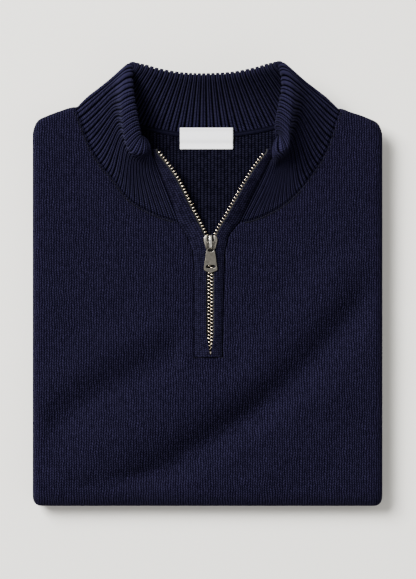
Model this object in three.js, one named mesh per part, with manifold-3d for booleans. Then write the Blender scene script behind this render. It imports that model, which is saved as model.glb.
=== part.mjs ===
// A quarter zip sweater, folded for a shelf and lying on its back, in millimetres.
// The collar points along +Y, +X is to the right, and the surface it lies on is Z = 0.
import * as THREE from 'three';
import { mergeVertices } from 'three/addons/utils/BufferGeometryUtils.js';
import Module from 'manifold-3d';

const wasm = await Module();
wasm.setup();

// Driving sizes of the folded garment
const HALF_WIDTH = 157;
const BOTTOM_FOLD_Y = -200.2;
const PILE_HEIGHT = 28;
const FOLD_Z = PILE_HEIGHT / 2;
const SEAM_GAP = 0.4;

// Moves the middle of the whole outline, from the bottom fold to the rim, onto the origin
const CENTRE_SHIFT_Y = 1.65;

// Cloth: the front and back are plain knit, the collar is a doubled rib
const KNIT_THICKNESS = 2.8;
const LAYER_GAP = 0.4;
const BACK_OUTER_DEPTH = KNIT_THICKNESS + LAYER_GAP;
const BACK_THICKNESS = 2.6;
const BACK_INNER_DEPTH = BACK_OUTER_DEPTH + BACK_THICKNESS;
const SHOULDER_ROLL = 6;

// The middle of the closed zip, from above
const CHAIN_X = 2.7;

// Rolls: each side is folded behind, then the lower half is folded under
const SIDE_ROLL = 6.85;
const BOTTOM_ROLL = FOLD_Z;
const SIDE_ROLL_END = Math.PI * 0.93;
const SIDE_CENTRE_X = HALF_WIDTH - SIDE_ROLL;
const BOTTOM_CENTRE_Y = BOTTOM_FOLD_Y + BOTTOM_ROLL;

const NAVY = 0x1a1b2e;
const COLOURS = {
  knit: NAVY, rib: 0x171827, tape: 0x0d0d14, tooth: 0xb9ac98, nickel: 0x86807a, label: 0xf0f0f6,
};

function material(colour, roughness, metalness) {
  return new THREE.MeshStandardMaterial({ color: colour, roughness, metalness });
}

const KNIT = material(COLOURS.knit, 0.95, 0);
const RIB = material(COLOURS.rib, 0.95, 0);
const TAPE = material(COLOURS.tape, 0.9, 0);
const TOOTH = material(COLOURS.tooth, 0.35, 1);
const NICKEL = material(COLOURS.nickel, 0.3, 1);
const LABEL = material(COLOURS.label, 0.8, 0);

function mix(a, b, t) {
  return a + (b - a) * t;
}

function smooth(from, to, value) {
  const t = Math.min(1, Math.max(0, (value - from) / (to - from)));
  return t * t * (3 - 2 * t);
}

// One column of a table, as a smooth curve over the column named by key
function along(rows, key, column, at) {
  let i = 0;
  while (i < rows.length - 2 && at > rows[i + 1][key]) i += 1;
  const slope = (n) => {
    const a = rows[Math.max(0, n - 1)];
    const b = rows[Math.min(rows.length - 1, n + 1)];
    return (b[column] - a[column]) / (b[key] - a[key]);
  };
  const step = rows[i + 1][key] - rows[i][key];
  const t = (at - rows[i][key]) / step;
  const p0 = rows[i][column];
  const p1 = rows[i + 1][column];
  const m0 = slope(i) * step;
  const m1 = slope(i + 1) * step;
  const t2 = t * t;
  const t3 = t2 * t;
  return (2 * t3 - 3 * t2 + 1) * p0 + (t3 - 2 * t2 + t) * m0 + (3 * t2 - 2 * t3) * p1 + (t3 - t2) * m1;
}

// A row of a table from its column names
function named(columns, values) {
  return values.map((row) => Object.fromEntries(columns.map((name, i) => [name, row[i]])));
}

// A closed body from a grid of points. Its columns may close into a ring, and from the column
// innerFrom on, the squares are split the other way, so that a wall's two faces match.
function solidFromGrid(grid, { columnsClose = false, innerFrom = Infinity } = {}) {
  const columns = grid[0].length;
  const positions = grid.flat().flatMap((p) => [p.x, p.y, p.z]);
  const index = [];
  const id = (r, c) => r * columns + (c % columns);
  const lastColumn = columnsClose ? columns : columns - 1;
  for (let r = 0; r < grid.length - 1; r += 1) {
    for (let c = 0; c < lastColumn; c += 1) {
      const [a, b, d, e] = [id(r, c), id(r + 1, c), id(r + 1, c + 1), id(r, c + 1)];
      if (c < innerFrom) index.push(a, b, d, a, d, e);
      else index.push(a, b, e, b, d, e);
    }
  }
  const geometry = new THREE.BufferGeometry();
  geometry.setAttribute('position', new THREE.Float32BufferAttribute(positions, 3));
  geometry.setIndex(index);
  return facingOut(geometry);
}

// Shared corners, no triangles without area, faces pointing out
function facingOut(geometry) {
  geometry.deleteAttribute('normal');
  geometry.deleteAttribute('uv');
  const merged = mergeVertices(geometry, 1e-3);
  const kept = [];
  const source = merged.getIndex().array;
  for (let i = 0; i < source.length; i += 3) {
    const [a, b, c] = [source[i], source[i + 1], source[i + 2]];
    if (a !== b && b !== c && c !== a) kept.push(a, b, c);
  }
  const p = merged.getAttribute('position').array;
  let volume = 0;
  for (let i = 0; i < kept.length; i += 3) {
    const [a, b, c] = [kept[i] * 3, kept[i + 1] * 3, kept[i + 2] * 3];
    volume += p[a] * (p[b + 1] * p[c + 2] - p[b + 2] * p[c + 1]);
    volume += p[a + 1] * (p[b + 2] * p[c] - p[b] * p[c + 2]);
    volume += p[a + 2] * (p[b] * p[c + 1] - p[b + 1] * p[c]);
  }
  if (volume < 0) {
    for (let i = 0; i < kept.length; i += 3) {
      const swap = kept[i + 1];
      kept[i + 1] = kept[i + 2];
      kept[i + 2] = swap;
    }
  }
  merged.setIndex(kept);
  return merged;
}

function toManifold(geometry) {
  const closed = facingOut(geometry.clone());
  const vertProperties = new Float32Array(closed.getAttribute('position').array);
  const triVerts = new Uint32Array(closed.getIndex().array);
  return new wasm.Manifold(new wasm.Mesh({ numProp: 3, vertProperties, triVerts }));
}

// The main body that is left after a cut, without crumbs
function fromManifold(solid) {
  const bodies = solid.decompose();
  const main = bodies.reduce((largest, body) => (body.volume() > largest.volume() ? body : largest));
  const mesh = main.getMesh();
  const geometry = new THREE.BufferGeometry();
  geometry.setAttribute('position', new THREE.Float32BufferAttribute(mesh.vertProperties, 3));
  geometry.setIndex(Array.from(mesh.triVerts));
  return geometry;
}

// An upright prism through a plan outline
function prism(outline, low, high) {
  const shape = new THREE.Shape(outline.map(([x, y]) => new THREE.Vector2(x, y)));
  const geometry = new THREE.ExtrudeGeometry(shape, { depth: high - low, bevelEnabled: false });
  geometry.translate(0, 0, low);
  return geometry;
}

// A wall between two grids of the same size, closed round its edge
function wallBetween(outer, inner) {
  const rows = outer.map((row, r) => [...row, ...[...inner[r]].reverse()]);
  const collapse = (row) => {
    return row.map((p, i) => mixPoint(p, row[row.length - 1 - i], 0.5));
  };
  const closed = [collapse(rows[0]), ...rows, collapse(rows[rows.length - 1])];
  return solidFromGrid(closed, { columnsClose: true, innerFrom: outer[0].length });
}

function mixPoint(a, b, t) {
  return new THREE.Vector3().lerpVectors(a, b, t);
}

// The shoulder line seen from above, from the left corner to the right one
const SHOULDER = named(['x', 'y'], [
  [-157, 135], [-155.5, 141], [-152, 146.4], [-146, 149.6], [-132.5, 154.8], [-119.5, 158.4],
  [0, 160], [119.5, 157], [128, 154], [137, 151.2], [146, 147.6], [151.5, 144.9], [155, 141], [157, 134.5],
]);

// The largest folds of the front: soft troughs and ridges, each a line with a width and a height
const FOLDS = named(['x0', 'y0', 'x1', 'y1', 'bow', 'width', 'height'], [
  [152, -8, 44, -108, -7, 11, -2.6],
  [44, -108, -92, -190, 9, 12, -2.2],
  [150, 22, 30, -78, -4, 15, 1.5],
  [26, -96, -100, -172, 8, 14, 1.3],
  [-18, -64, -120, -118, 6, 10, -1.7],
  [-22, -46, -128, -96, 6, 11, 0.9],
  [4, -138, -84, -188, 7, 10, -0.9],
]);
const PLACKET_CALM = { halfWidth: 20, blend: 16, bottomY: -70, neckY: 40, neckBlend: 30 };

function distanceToFold(fold, x, y) {
  const dx = fold.x1 - fold.x0;
  const dy = fold.y1 - fold.y0;
  const length = Math.hypot(dx, dy);
  const s = ((x - fold.x0) * dx + (y - fold.y0) * dy) / (length * length);
  const off = ((x - fold.x0) * dy - (y - fold.y0) * dx) / length;
  const bowed = off - fold.bow * 4 * s * (1 - s);
  return { s, off: bowed };
}

function foldHeight(x, y) {
  let height = 0;
  for (const fold of FOLDS) {
    const { s, off } = distanceToFold(fold, x, y);
    const ends = smooth(-0.22, 0.16, s) * (1 - smooth(0.84, 1.22, s));
    height += fold.height * ends * Math.exp(-((off / fold.width) ** 2));
  }
  const { halfWidth, blend, bottomY, neckY, neckBlend } = PLACKET_CALM;
  const beside = smooth(halfWidth, halfWidth + blend, Math.abs(x - CHAIN_X));
  const below = 1 - smooth(bottomY - blend, bottomY, y);
  const calm = Math.max(beside, below) * (1 - smooth(neckY - neckBlend, neckY, y));
  const rim = 1 - smooth(SIDE_CENTRE_X - 14, SIDE_CENTRE_X + 4, Math.abs(x));
  return height * calm * mix(0.35, 1, rim);
}

// All layers share these steps, so the gaps between them stay even
const STEPS = { across: 16, sideRoll: 5, flat: 17, shoulder: 2, bottomRoll: 6 };

// Places across a layer, from under the left roll over the top to under the right roll
function acrossStations(rollEnd, tail = 0) {
  const { across: flatSteps, sideRoll: rollSteps } = STEPS;
  const stations = [];
  if (tail > 0) stations.push({ x: -SIDE_CENTRE_X, roll: rollEnd + tail, side: -1 });
  for (let i = 0; i < rollSteps; i += 1) {
    stations.push({ x: -SIDE_CENTRE_X, roll: rollEnd * (1 - i / rollSteps), side: -1 });
  }
  for (let i = 0; i <= flatSteps; i += 1) {
    stations.push({ x: mix(-SIDE_CENTRE_X, SIDE_CENTRE_X, i / flatSteps), roll: 0, side: 0 });
  }
  for (let i = 1; i <= rollSteps; i += 1) {
    stations.push({ x: SIDE_CENTRE_X, roll: rollEnd * (i / rollSteps), side: 1 });
  }
  if (tail > 0) stations.push({ x: SIDE_CENTRE_X, roll: rollEnd + tail, side: 1 });
  return stations;
}

// Places along a layer: the shoulder's roll, the flat down to a step, and the roll at the bottom fold
function alongStations(flatTo, rollTo) {
  const stations = [];
  for (let i = 0; i < STEPS.shoulder; i += 1) {
    stations.push({ shoulder: (Math.PI / 2) * (1 - i / STEPS.shoulder), flat: 0, bottom: 0 });
  }
  for (let i = 0; i <= flatTo; i += 1) stations.push(flatStation(i / STEPS.flat));
  const rollSteps = rollTo > 0 ? STEPS.bottomRoll : 0;
  for (let i = 1; i <= rollSteps; i += 1) stations.push(bottomStation(rollTo * (i / rollSteps)));
  return stations;
}

function flatStation(flat) {
  return { shoulder: 0, flat, bottom: 0 };
}

function bottomStation(bottom) {
  return { shoulder: 0, flat: 1, bottom };
}

// A point of the folded cloth, at a depth below its outer face
function clothPoint(depth, across, station) {
  const sideRadius = Math.max(0.05, SIDE_ROLL - depth);
  const x = across.x + across.side * sideRadius * Math.sin(across.roll);
  const outerX = across.x + across.side * SIDE_ROLL * Math.sin(across.roll);
  const drop = depth + sideRadius * (1 - Math.cos(across.roll));
  const shoulderY = along(SHOULDER, 'x', 'y', Math.min(HALF_WIDTH, Math.max(-HALF_WIDTH, outerX)));
  const startY = shoulderY - SHOULDER_ROLL;
  const y = mix(startY, BOTTOM_CENTRE_Y, station.flat);
  const height = foldHeight(x, y) / BOTTOM_ROLL;
  const reach = Math.max(0.12, (BOTTOM_ROLL - drop) * (1 + height * Math.cos(station.bottom / 2) ** 2));
  if (station.shoulder > 0) {
    const radius = Math.max(0, SHOULDER_ROLL - depth);
    const upper = 1 - smooth(Math.PI * 0.25, Math.PI * 0.6, across.roll);
    const z = FOLD_Z + reach - upper * radius * (1 - Math.cos(station.shoulder));
    const reachY = mix(SHOULDER_ROLL, radius, upper);
    return new THREE.Vector3(x, startY + reachY * Math.sin(station.shoulder), z);
  }
  if (station.bottom > 0) {
    const low = y - reach * Math.sin(station.bottom);
    return new THREE.Vector3(x, low, FOLD_Z + reach * Math.cos(station.bottom));
  }
  return new THREE.Vector3(x, y, FOLD_Z + reach);
}

function clothGrid(depth, acrossList, alongList) {
  return alongList.map((station) => acrossList.map((across) => clothPoint(depth, across, station)));
}

// The collar: one row for each place along the band, counted in ribs from the left zip end.
// Its foot is sewn to the neck and its rim stands above, and knee is where it turns up.
const RIB_COUNT = 77;
const LEFT_FOLD_RIB = 22;
const RIGHT_FOLD_RIB = 55;
const COLLAR = named(['rib', 'footX', 'footY', 'footZ', 'rimX', 'rimY', 'rimZ', 'knee', 'kneeZ'], [
  [0, -26.4, 55.5, 27.2, -52, 121.3, 45, 0.5, 31],
  [3, -41.6, 60, 27.2, -54.2, 121.1, 49, 0.56, 32],
  [6, -58.2, 67.6, 27.2, -56.7, 121, 52, 0.62, 33],
  [9, -72.1, 77.4, 27.2, -59.8, 121.2, 55, 0.68, 34],
  [12, -83.7, 92.7, 27.2, -63.3, 123.4, 57, 0.72, 34],
  [14, -93.6, 104.3, 27.2, -66.3, 133, 58, 0.72, 34],
  [17, -105.2, 123.1, 27.2, -69, 150.7, 58, 0.68, 34],
  [20, -113.3, 144.6, 27, -71.2, 171.1, 57, 0.6, 34],
  [LEFT_FOLD_RIB, -116.9, 156.3, 25.8, -70, 190, 54, 0.5, 31],
  [25, -92.8, 149.8, 23.8, -59, 191, 52, 0.5, 27],
  [28.5, -69.5, 143.5, 23.6, -43.9, 187.1, 51, 0.52, 26],
  [33, -39, 136.3, 23.6, -23.5, 183.6, 50, 0.54, 26],
  [38.5, -0.4, 132.3, 23.6, -1.3, 182.7, 50, 0.55, 26],
  [44, 39, 136.3, 23.6, 22.6, 184.1, 50, 0.54, 26],
  [48.5, 69.5, 143, 23.6, 43, 188, 51, 0.52, 26],
  [52, 92.8, 148.9, 23.8, 57.2, 191.9, 52, 0.5, 27],
  [RIGHT_FOLD_RIB, 116.9, 155, 25.8, 67.3, 190.8, 54, 0.5, 31],
  [57, 114.2, 142.8, 27, 71.2, 172.9, 57, 0.6, 34],
  [60, 105.2, 117.7, 27.2, 68.6, 152.5, 58, 0.68, 34],
  [63, 91.8, 96.3, 27.2, 65.5, 134.8, 58, 0.72, 34],
  [65, 81.9, 83.7, 27.2, 65, 125.6, 57, 0.72, 34],
  [68, 69.4, 72.1, 27.2, 64.2, 122.1, 55, 0.68, 34],
  [71, 56, 64, 27.2, 63.4, 121, 52, 0.62, 33],
  [74, 42.5, 58.2, 27.2, 62.6, 120.2, 49, 0.56, 32],
  [RIB_COUNT, 29.1, 55.1, 27.2, 61.8, 119.5, 45, 0.5, 31],
]);
const COLLAR_HALF = { foot: 1.4, middle: 3, rim: 3.6 };
const RIB_RELIEF = 0.45;
const COLLAR_STEPS = { samplesPerRib: 2, faceSteps: 5, rimSteps: 4 };

function collarColumn(column, rib) {
  return along(COLLAR, 'rib', column, rib);
}

function collarCentre(rib, t) {
  const foot = new THREE.Vector3(...['footX', 'footY', 'footZ'].map((c) => collarColumn(c, rib)));
  const rim = new THREE.Vector3(...['rimX', 'rimY', 'rimZ'].map((c) => collarColumn(c, rib)));
  const knee = mixPoint(foot, rim, collarColumn('knee', rib));
  knee.z = collarColumn('kneeZ', rib);
  return new THREE.QuadraticBezierCurve3(foot, knee, rim).getPoint(t);
}

function collarFrame(rib, t) {
  const e = 0.25;
  const low = Math.max(0, rib - e);
  const high = Math.min(RIB_COUNT, rib + e);
  const bandwise = collarCentre(high, t).sub(collarCentre(low, t)).normalize();
  const t0 = Math.max(0, t - 0.03);
  const t1 = Math.min(1, t + 0.03);
  const rise = collarCentre(rib, t1).sub(collarCentre(rib, t0)).normalize();
  const out = new THREE.Vector3().crossVectors(rise, bandwise).normalize();
  const sideways = new THREE.Vector3(rise.y, -rise.x, 0).normalize();
  const nearZip = 1 - smooth(0, 3, Math.min(rib, RIB_COUNT - rib));
  out.addScaledVector(sideways, -nearZip * out.dot(sideways)).normalize();
  return { centre: collarCentre(rib, t), out, rise };
}

function collarHalf(t) {
  const low = mix(COLLAR_HALF.foot, COLLAR_HALF.middle, smooth(0, 0.3, t));
  return mix(low, COLLAR_HALF.rim, smooth(0.6, 1, t));
}

function ribRelief(rib, t) {
  return RIB_RELIEF * Math.cos(2 * Math.PI * rib) * smooth(0, 0.12, t);
}

// One section of the band: up its outer face, over the rolled rim, down its inner face
function collarSection(rib, faceSteps, rimSteps) {
  const section = [];
  const face = (t, side) => {
    const { centre, out } = collarFrame(rib, t);
    return centre.addScaledVector(out, side * (collarHalf(t) + ribRelief(rib, t)));
  };
  for (let i = 0; i <= faceSteps; i += 1) section.push(face(i / faceSteps, 1));
  const { centre, out, rise } = collarFrame(rib, 1);
  for (let i = 1; i < rimSteps; i += 1) {
    const turn = Math.PI * (i / rimSteps);
    const radius = collarHalf(1) + ribRelief(rib, 1);
    const p = centre.clone().addScaledVector(out, radius * Math.cos(turn));
    section.push(p.addScaledVector(rise, radius * Math.sin(turn)));
  }
  for (let i = faceSteps; i >= 0; i -= 1) section.push(face(i / faceSteps, -1));
  return section;
}

function collarGeometry() {
  const { samplesPerRib, faceSteps, rimSteps } = COLLAR_STEPS;
  const sections = [];
  for (let i = 0; i <= RIB_COUNT * samplesPerRib; i += 1) {
    sections.push(collarSection(i / samplesPerRib, faceSteps, rimSteps));
  }
  const collapse = (section) => {
    const last = section.length - 1;
    return section.map((p, i) => mixPoint(p, section[last - i], 0.5));
  };
  const closed = [collapse(sections[0]), ...sections, collapse(sections[sections.length - 1])];
  return solidFromGrid(closed, { columnsClose: true });
}

// The band is bulkier where it turns sharply at each side
const FOLD_SPREAD = 1.6;
function nearFold(rib, foldRib) {
  return Math.exp(-(((rib - foldRib) / FOLD_SPREAD) ** 2));
}

// The neck line, a little outside the collar's foot, between two places on the band
function neckLine(fromRib, toRib, gap) {
  const line = [];
  const steps = Math.ceil(Math.abs(toRib - fromRib) * 2);
  for (let i = 0; i <= steps; i += 1) {
    const rib = mix(fromRib, toRib, i / steps);
    const { centre, rise } = collarFrame(rib, 0);
    const flat = new THREE.Vector2(rise.x, rise.y).normalize();
    const bulk = COLLAR_HALF.foot + RIB_RELIEF;
    const fold = nearFold(rib, LEFT_FOLD_RIB) + nearFold(rib, RIGHT_FOLD_RIB);
    const away = gap + bulk * Math.min(1, fold);
    line.push([centre.x - flat.x * away, centre.y - flat.y * away]);
  }
  return line;
}

// The zip: its two chains part at the slider and run up to the collar's rim
const ZIP = named(['x', 'y', 'z'], [
  [-43.6, 117.3, 45], [-31.8, 102.5, 39], [-25.9, 93.4, 36], [-19.9, 81.7, 32.6], [-14.6, 70.9, 30.2],
  [-9.1, 60, 28.4], [-3.8, 49.8, 27.8], [0.9, 38.9, 27.8], [1.35, 30, 27.8], [1.35, -60.5, 27.8],
]);
const ZIP_RIGHT = named(['x', 'y', 'z'], [
  [51.4, 117.3, 45], [40.2, 102.5, 39], [34.4, 93.2, 36], [27.7, 81.7, 32.6], [21.9, 71, 30.2],
  [15.7, 60, 28.4], [9.4, 49.7, 27.8], [4.5, 38.9, 27.8], [4.05, 30, 27.8], [4.05, -60.5, 27.8],
]);
const TOOTH_ROW = { width: 2.2, height: 2.4 };
const TAPE_STRIP = { width: 3.1, height: 1.1 };
const PLACKET_HEIGHT = 3.6;

// The outer edge of each placket, beside the collar above and the front panel below
const PLACKET_LOW_LEFT = named(['x', 'y', 'z'], [
  [-18.4, 43.4, 27.2], [-13, 30, 27.2], [-11.4, 12, 27.2], [-11.2, -65.9, 27.2],
]);
const PLACKET_LOW_RIGHT = named(['x', 'y', 'z'], [
  [19.3, 43.4, 27.2], [15.7, 29.1, 27.2], [14.8, 2.2, 27.2], [13.4, -65.9, 27.2],
]);

// A polyline resampled at heights of Y, from its first point to its last
function atY(rows, y) {
  let i = 0;
  while (i < rows.length - 2 && y < rows[i + 1].y) i += 1;
  const t = Math.min(1, Math.max(0, (y - rows[i].y) / (rows[i + 1].y - rows[i].y)));
  return { x: mix(rows[i].x, rows[i + 1].x, t), z: mix(rows[i].z, rows[i + 1].z, t) };
}

// A strip between two edges, with upright sides: each station has a left, a right and a middle height
function strip(stations, height) {
  const grid = stations.map(({ left, right, y, zLeft, zRight }) => [
    new THREE.Vector3(left, y, zLeft - height / 2),
    new THREE.Vector3(right, y, zRight - height / 2),
    new THREE.Vector3(right, y, zRight + height / 2),
    new THREE.Vector3(left, y, zLeft + height / 2),
  ]);
  return closedTube(grid);
}

// A body from a row of rings, closed to a point in the middle of each end
function closedTube(grid) {
  const collapse = (row) => {
    const centre = row.reduce((sum, p) => sum.add(p), new THREE.Vector3()).multiplyScalar(1 / row.length);
    return row.map(() => centre.clone());
  };
  return solidFromGrid([collapse(grid[0]), ...grid, collapse(grid[grid.length - 1])], { columnsClose: true });
}

function collarEdge(rib) {
  const edge = [];
  for (let i = 10; i >= 0; i -= 1) {
    const p = collarCentre(rib, i / 10);
    edge.push({ x: p.x, y: p.y, z: p.z });
  }
  return edge;
}

const LEFT_EDGE = [...collarEdge(0), ...PLACKET_LOW_LEFT];
const RIGHT_EDGE = [...collarEdge(RIB_COUNT), ...PLACKET_LOW_RIGHT];
const ZIP_TOP_Y = ZIP[0].y;
const ZIP_BOTTOM_Y = ZIP[ZIP.length - 1].y;
const PLACKET_BOTTOM_Y = -65.9;

function stationsY(top, bottom, step) {
  const count = Math.ceil((top - bottom) / step);
  return Array.from({ length: count + 1 }, (_, i) => mix(top, bottom, i / count));
}

// Widths measured across a strip that runs at a slant take more along X
function slant(rows, y) {
  const a = atY(rows, y + 3);
  const b = atY(rows, y - 3);
  return Math.hypot((a.x - b.x) / 6, 1);
}

function zipStrip(rows, outward, from, to, height, topY, bottomY) {
  const stations = stationsY(topY, bottomY, 6).map((y) => {
    const p = atY(rows, y);
    const k = slant(rows, y);
    const a = p.x + outward * from * k;
    const b = p.x + outward * to * k;
    return { left: Math.min(a, b), right: Math.max(a, b), y, zLeft: p.z, zRight: p.z };
  });
  return strip(stations, height);
}

function placket(edge, zip, outward) {
  const inner = TOOTH_ROW.width / 2 + LAYER_GAP + TAPE_STRIP.width + LAYER_GAP;
  const stations = stationsY(ZIP_TOP_Y, PLACKET_BOTTOM_Y, 6).map((y) => {
    const outer = atY(edge, y);
    const chain = atY(zip, Math.max(y, ZIP_BOTTOM_Y));
    const a = outer.x - outward * SEAM_GAP * slant(edge, y);
    const b = chain.x + outward * inner * slant(zip, y);
    const points = outward < 0 ? { left: a, right: b } : { left: b, right: a };
    const heights = outward < 0 ? { zLeft: outer.z, zRight: chain.z } : { zLeft: chain.z, zRight: outer.z };
    return { ...points, y, ...heights };
  });
  return strip(stations, PLACKET_HEIGHT);
}

// The gap in the front for the neck, the plackets and the zip
function frontCut() {
  const left = LEFT_EDGE.filter((p) => p.y < 54).map((p) => [p.x - SEAM_GAP, p.y]);
  const right = RIGHT_EDGE.filter((p) => p.y < 54).map((p) => [p.x + SEAM_GAP, p.y]);
  const leftNeck = neckLine(LEFT_FOLD_RIB, 0, SEAM_GAP);
  const rightNeck = neckLine(RIB_COUNT, RIGHT_FOLD_RIB, SEAM_GAP);
  const bottom = PLACKET_BOTTOM_Y - SEAM_GAP;
  left[left.length - 1][1] = bottom;
  right[right.length - 1][1] = bottom;
  const above = 200;
  return [[leftNeck[0][0], above], ...leftNeck, ...left, ...right.reverse(), ...rightNeck,
    [rightNeck[rightNeck.length - 1][0], above]];
}

function backCut(gap) {
  const neck = neckLine(LEFT_FOLD_RIB, RIGHT_FOLD_RIB, gap);
  const above = 200;
  return [[neck[neck.length - 1][0], above], [neck[0][0], above], ...neck];
}

function frontPanel() {
  const acrossList = acrossStations(SIDE_ROLL_END);
  const alongList = alongStations(STEPS.flat, Math.PI * 0.84);
  const [outer, inner] = [0, KNIT_THICKNESS].map((depth) => clothGrid(depth, acrossList, alongList));
  const wall = wallBetween(outer, inner);
  const cutter = prism(frontCut(), FOLD_Z, PILE_HEIGHT + 20);
  return fromManifold(toManifold(wall).subtract(toManifold(cutter)));
}

// The back panel that can be seen ends below the zip, at this step of the flat
const BACK_FLAT_TO = 12;

function backLayer(outerDepth, innerDepth, tail = 0) {
  const acrossList = acrossStations(SIDE_ROLL_END, tail);
  const alongList = alongStations(BACK_FLAT_TO, 0);
  if (tail > 0) alongList.push(flatStation((BACK_FLAT_TO + tail / 2) / STEPS.flat));
  const [outer, inner] = [outerDepth, innerDepth].map((depth) => clothGrid(depth, acrossList, alongList));
  return wallBetween(outer, inner);
}

function backPanel() {
  const wall = backLayer(BACK_OUTER_DEPTH, BACK_INNER_DEPTH);
  return fromManifold(toManifold(wall).subtract(toManifold(prism(backCut(SEAM_GAP), 0, PILE_HEIGHT))));
}

// Everything folded behind: sleeves, sides, the lower half and its hem, as one rounded body.
// Its section runs from the crease between the two stacks at the left, over the top, to the right.
const CREASE_X = SIDE_CENTRE_X + 0.25;
const HEM_END_Y = 118;
const EDGE_INSET = 1.2;
const CREASE_SET = 3;
const EDGE_LAYERS = named(['set', 'scale'], [
  [0.4, 0.1], [0, 0.25], [0.4, 0.4], [2.4, 0.46], [0.4, 0.52], [0, 0.68], [0.6, 0.84], [1.6, 0.98],
]);

function coreSection(station, depth) {
  const places = acrossStations(SIDE_ROLL_END);
  const creases = [-1, 1].map((side) => {
    const p = clothPoint(0, { x: side * SIDE_CENTRE_X, roll: Math.PI, side }, station);
    const y = station.bottom > 0 ? BOTTOM_CENTRE_Y : p.y;
    return new THREE.Vector3(side * CREASE_X, y, FOLD_Z);
  });
  return [creases[0], ...places.map((across) => clothPoint(depth, across, station)), creases[1]];
}

// The end at the shoulders, where the edges of the layers show as grooves
function coreEdge(section, layer, upward) {
  const last = section.length - 1;
  return section.map((p, i) => {
    if (i === 0 || i === last) return new THREE.Vector3(p.x, p.y - EDGE_INSET - CREASE_SET, FOLD_Z);
    const z = FOLD_Z + upward * (p.z - FOLD_Z) * layer.scale;
    const overhang = Math.max(0, Math.abs(p.x) - SIDE_CENTRE_X) * (1 - layer.scale * 0.92);
    return new THREE.Vector3(p.x - Math.sign(p.x) * overhang, p.y - EDGE_INSET - layer.set, z);
  });
}

function coreMiddleLine(flatStart) {
  const places = acrossStations(SIDE_ROLL_END);
  const middle = places.map(({ side, roll }, i) => {
    const x = side === 0 ? flatStart[i + 1].x : side * mix(SIDE_CENTRE_X, CREASE_X, roll / Math.PI);
    return new THREE.Vector3(x, flatStart[i + 1].y - EDGE_INSET - CREASE_SET, FOLD_Z);
  });
  const crease = (p) => new THREE.Vector3(p.x, p.y - EDGE_INSET - CREASE_SET, FOLD_Z);
  return [crease(flatStart[0]), ...middle, crease(flatStart[flatStart.length - 1])];
}

function mirroredDown(section) {
  return section.map((p) => new THREE.Vector3(p.x, p.y, 2 * FOLD_Z - p.z));
}

// The lower stack lies flat on the surface, so the folds of the front don't reach it
function lowerSection(flat) {
  const section = coreSection(flatStation(flat), 0);
  const places = acrossStations(SIDE_ROLL_END);
  return section.map((p, i) => {
    if (i === 0 || i === section.length - 1) return p;
    const drop = SIDE_ROLL * (1 - Math.cos(places[i - 1].roll));
    return new THREE.Vector3(p.x, p.y, FOLD_Z - (BOTTOM_ROLL - drop));
  });
}

function hiddenLayers() {
  const depth = BACK_OUTER_DEPTH - 0.1;
  const flatSteps = STEPS.flat;
  const start = coreSection(flatStation(0), depth);
  const middle = coreMiddleLine(start);
  const rows = [middle, ...EDGE_LAYERS.map((layer) => coreEdge(start, layer, 1))];
  for (let i = 1; i <= flatSteps; i += 1) rows.push(coreSection(flatStation(i / flatSteps), depth));
  const turn = Math.PI * 0.85;
  const { bottomRoll } = STEPS;
  for (let i = 1; i <= bottomRoll; i += 1) {
    rows.push(coreSection(bottomStation(turn * (i / bottomRoll)), depth));
  }
  rows.push(coreSection(bottomStation(turn + 0.02), 0));
  rows.push(coreSection(bottomStation((turn + Math.PI) / 2), 0));
  for (let i = flatSteps; i >= 1; i -= 1) rows.push(lowerSection(i / flatSteps));
  const under = mirroredDown(lowerSection(0));
  for (const layer of [...EDGE_LAYERS].reverse()) rows.push(coreEdge(under, layer, -1));
  rows.push(middle);
  return solidFromGrid(rows);
}

function hiddenLayersGeometry() {
  const pocket = backLayer(BACK_OUTER_DEPTH - 1.4, BACK_INNER_DEPTH + LAYER_GAP, 0.12);
  const beyondHem = [[-200, HEM_END_Y], [200, HEM_END_Y], [200, 220], [-200, 220]];
  const cuts = [pocket, prism(backCut(3.5), -1, PILE_HEIGHT), prism(beyondHem, -1, FOLD_Z - 0.4)];
  for (const side of [-1, 1]) {
    const [near, far] = [side * (SIDE_CENTRE_X - 0.4), side * (HALF_WIDTH + 3)];
    const corner = side < 0 ? [far, near] : [near, far];
    const shoulder = [[corner[0], 124], [corner[1], 124], [corner[1], 170], [corner[0], 170]];
    cuts.push(prism(shoulder, FOLD_Z + 0.4, PILE_HEIGHT));
  }
  const whole = toManifold(hiddenLayers());
  return fromManifold(cuts.reduce((solid, cut) => solid.subtract(toManifold(cut)), whole));
}

// The neck tape lies over the back neck seam, and the bare label over the tape
const NECK_TAPE = { width: 4, height: 0.7, z: 25.9, fromRib: 27.5, toRib: 49.5 };
const LABEL_SIZE = { left: -24.6, right: 22.8, thickness: 0.6 };
const LABEL_ROWS = named(['y', 'z'], [
  [120.3, 25.2], [125.5, 25.4], [128.6, 26.5], [133, 27.1], [136.4, 27.5], [139.3, 28.4],
]);

function neckTape() {
  const line = [];
  for (let rib = NECK_TAPE.fromRib; rib <= NECK_TAPE.toRib; rib += 1) {
    const { centre, rise } = collarFrame(rib, 0);
    const flat = new THREE.Vector2(rise.x, rise.y).normalize();
    line.push({ centre, flat });
  }
  const grid = line.map(({ centre, flat }) => [-1, 1, 1, -1].map((side, corner) => {
    const across = (side * NECK_TAPE.width) / 2 - 0.6;
    const up = (corner < 2 ? -0.5 : 0.5) * NECK_TAPE.height;
    const lift = side > 0 ? 0.55 : 0;
    return new THREE.Vector3(centre.x + flat.x * across, centre.y + flat.y * across, NECK_TAPE.z + up + lift);
  }));
  return closedTube(grid);
}

function label() {
  const { left, right, thickness } = LABEL_SIZE;
  const grid = LABEL_ROWS.map(({ y, z }) => [
    new THREE.Vector3(left, y, z), new THREE.Vector3(right, y, z),
    new THREE.Vector3(right, y, z + thickness), new THREE.Vector3(left, y, z + thickness),
  ]);
  return closedTube(grid);
}

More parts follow.
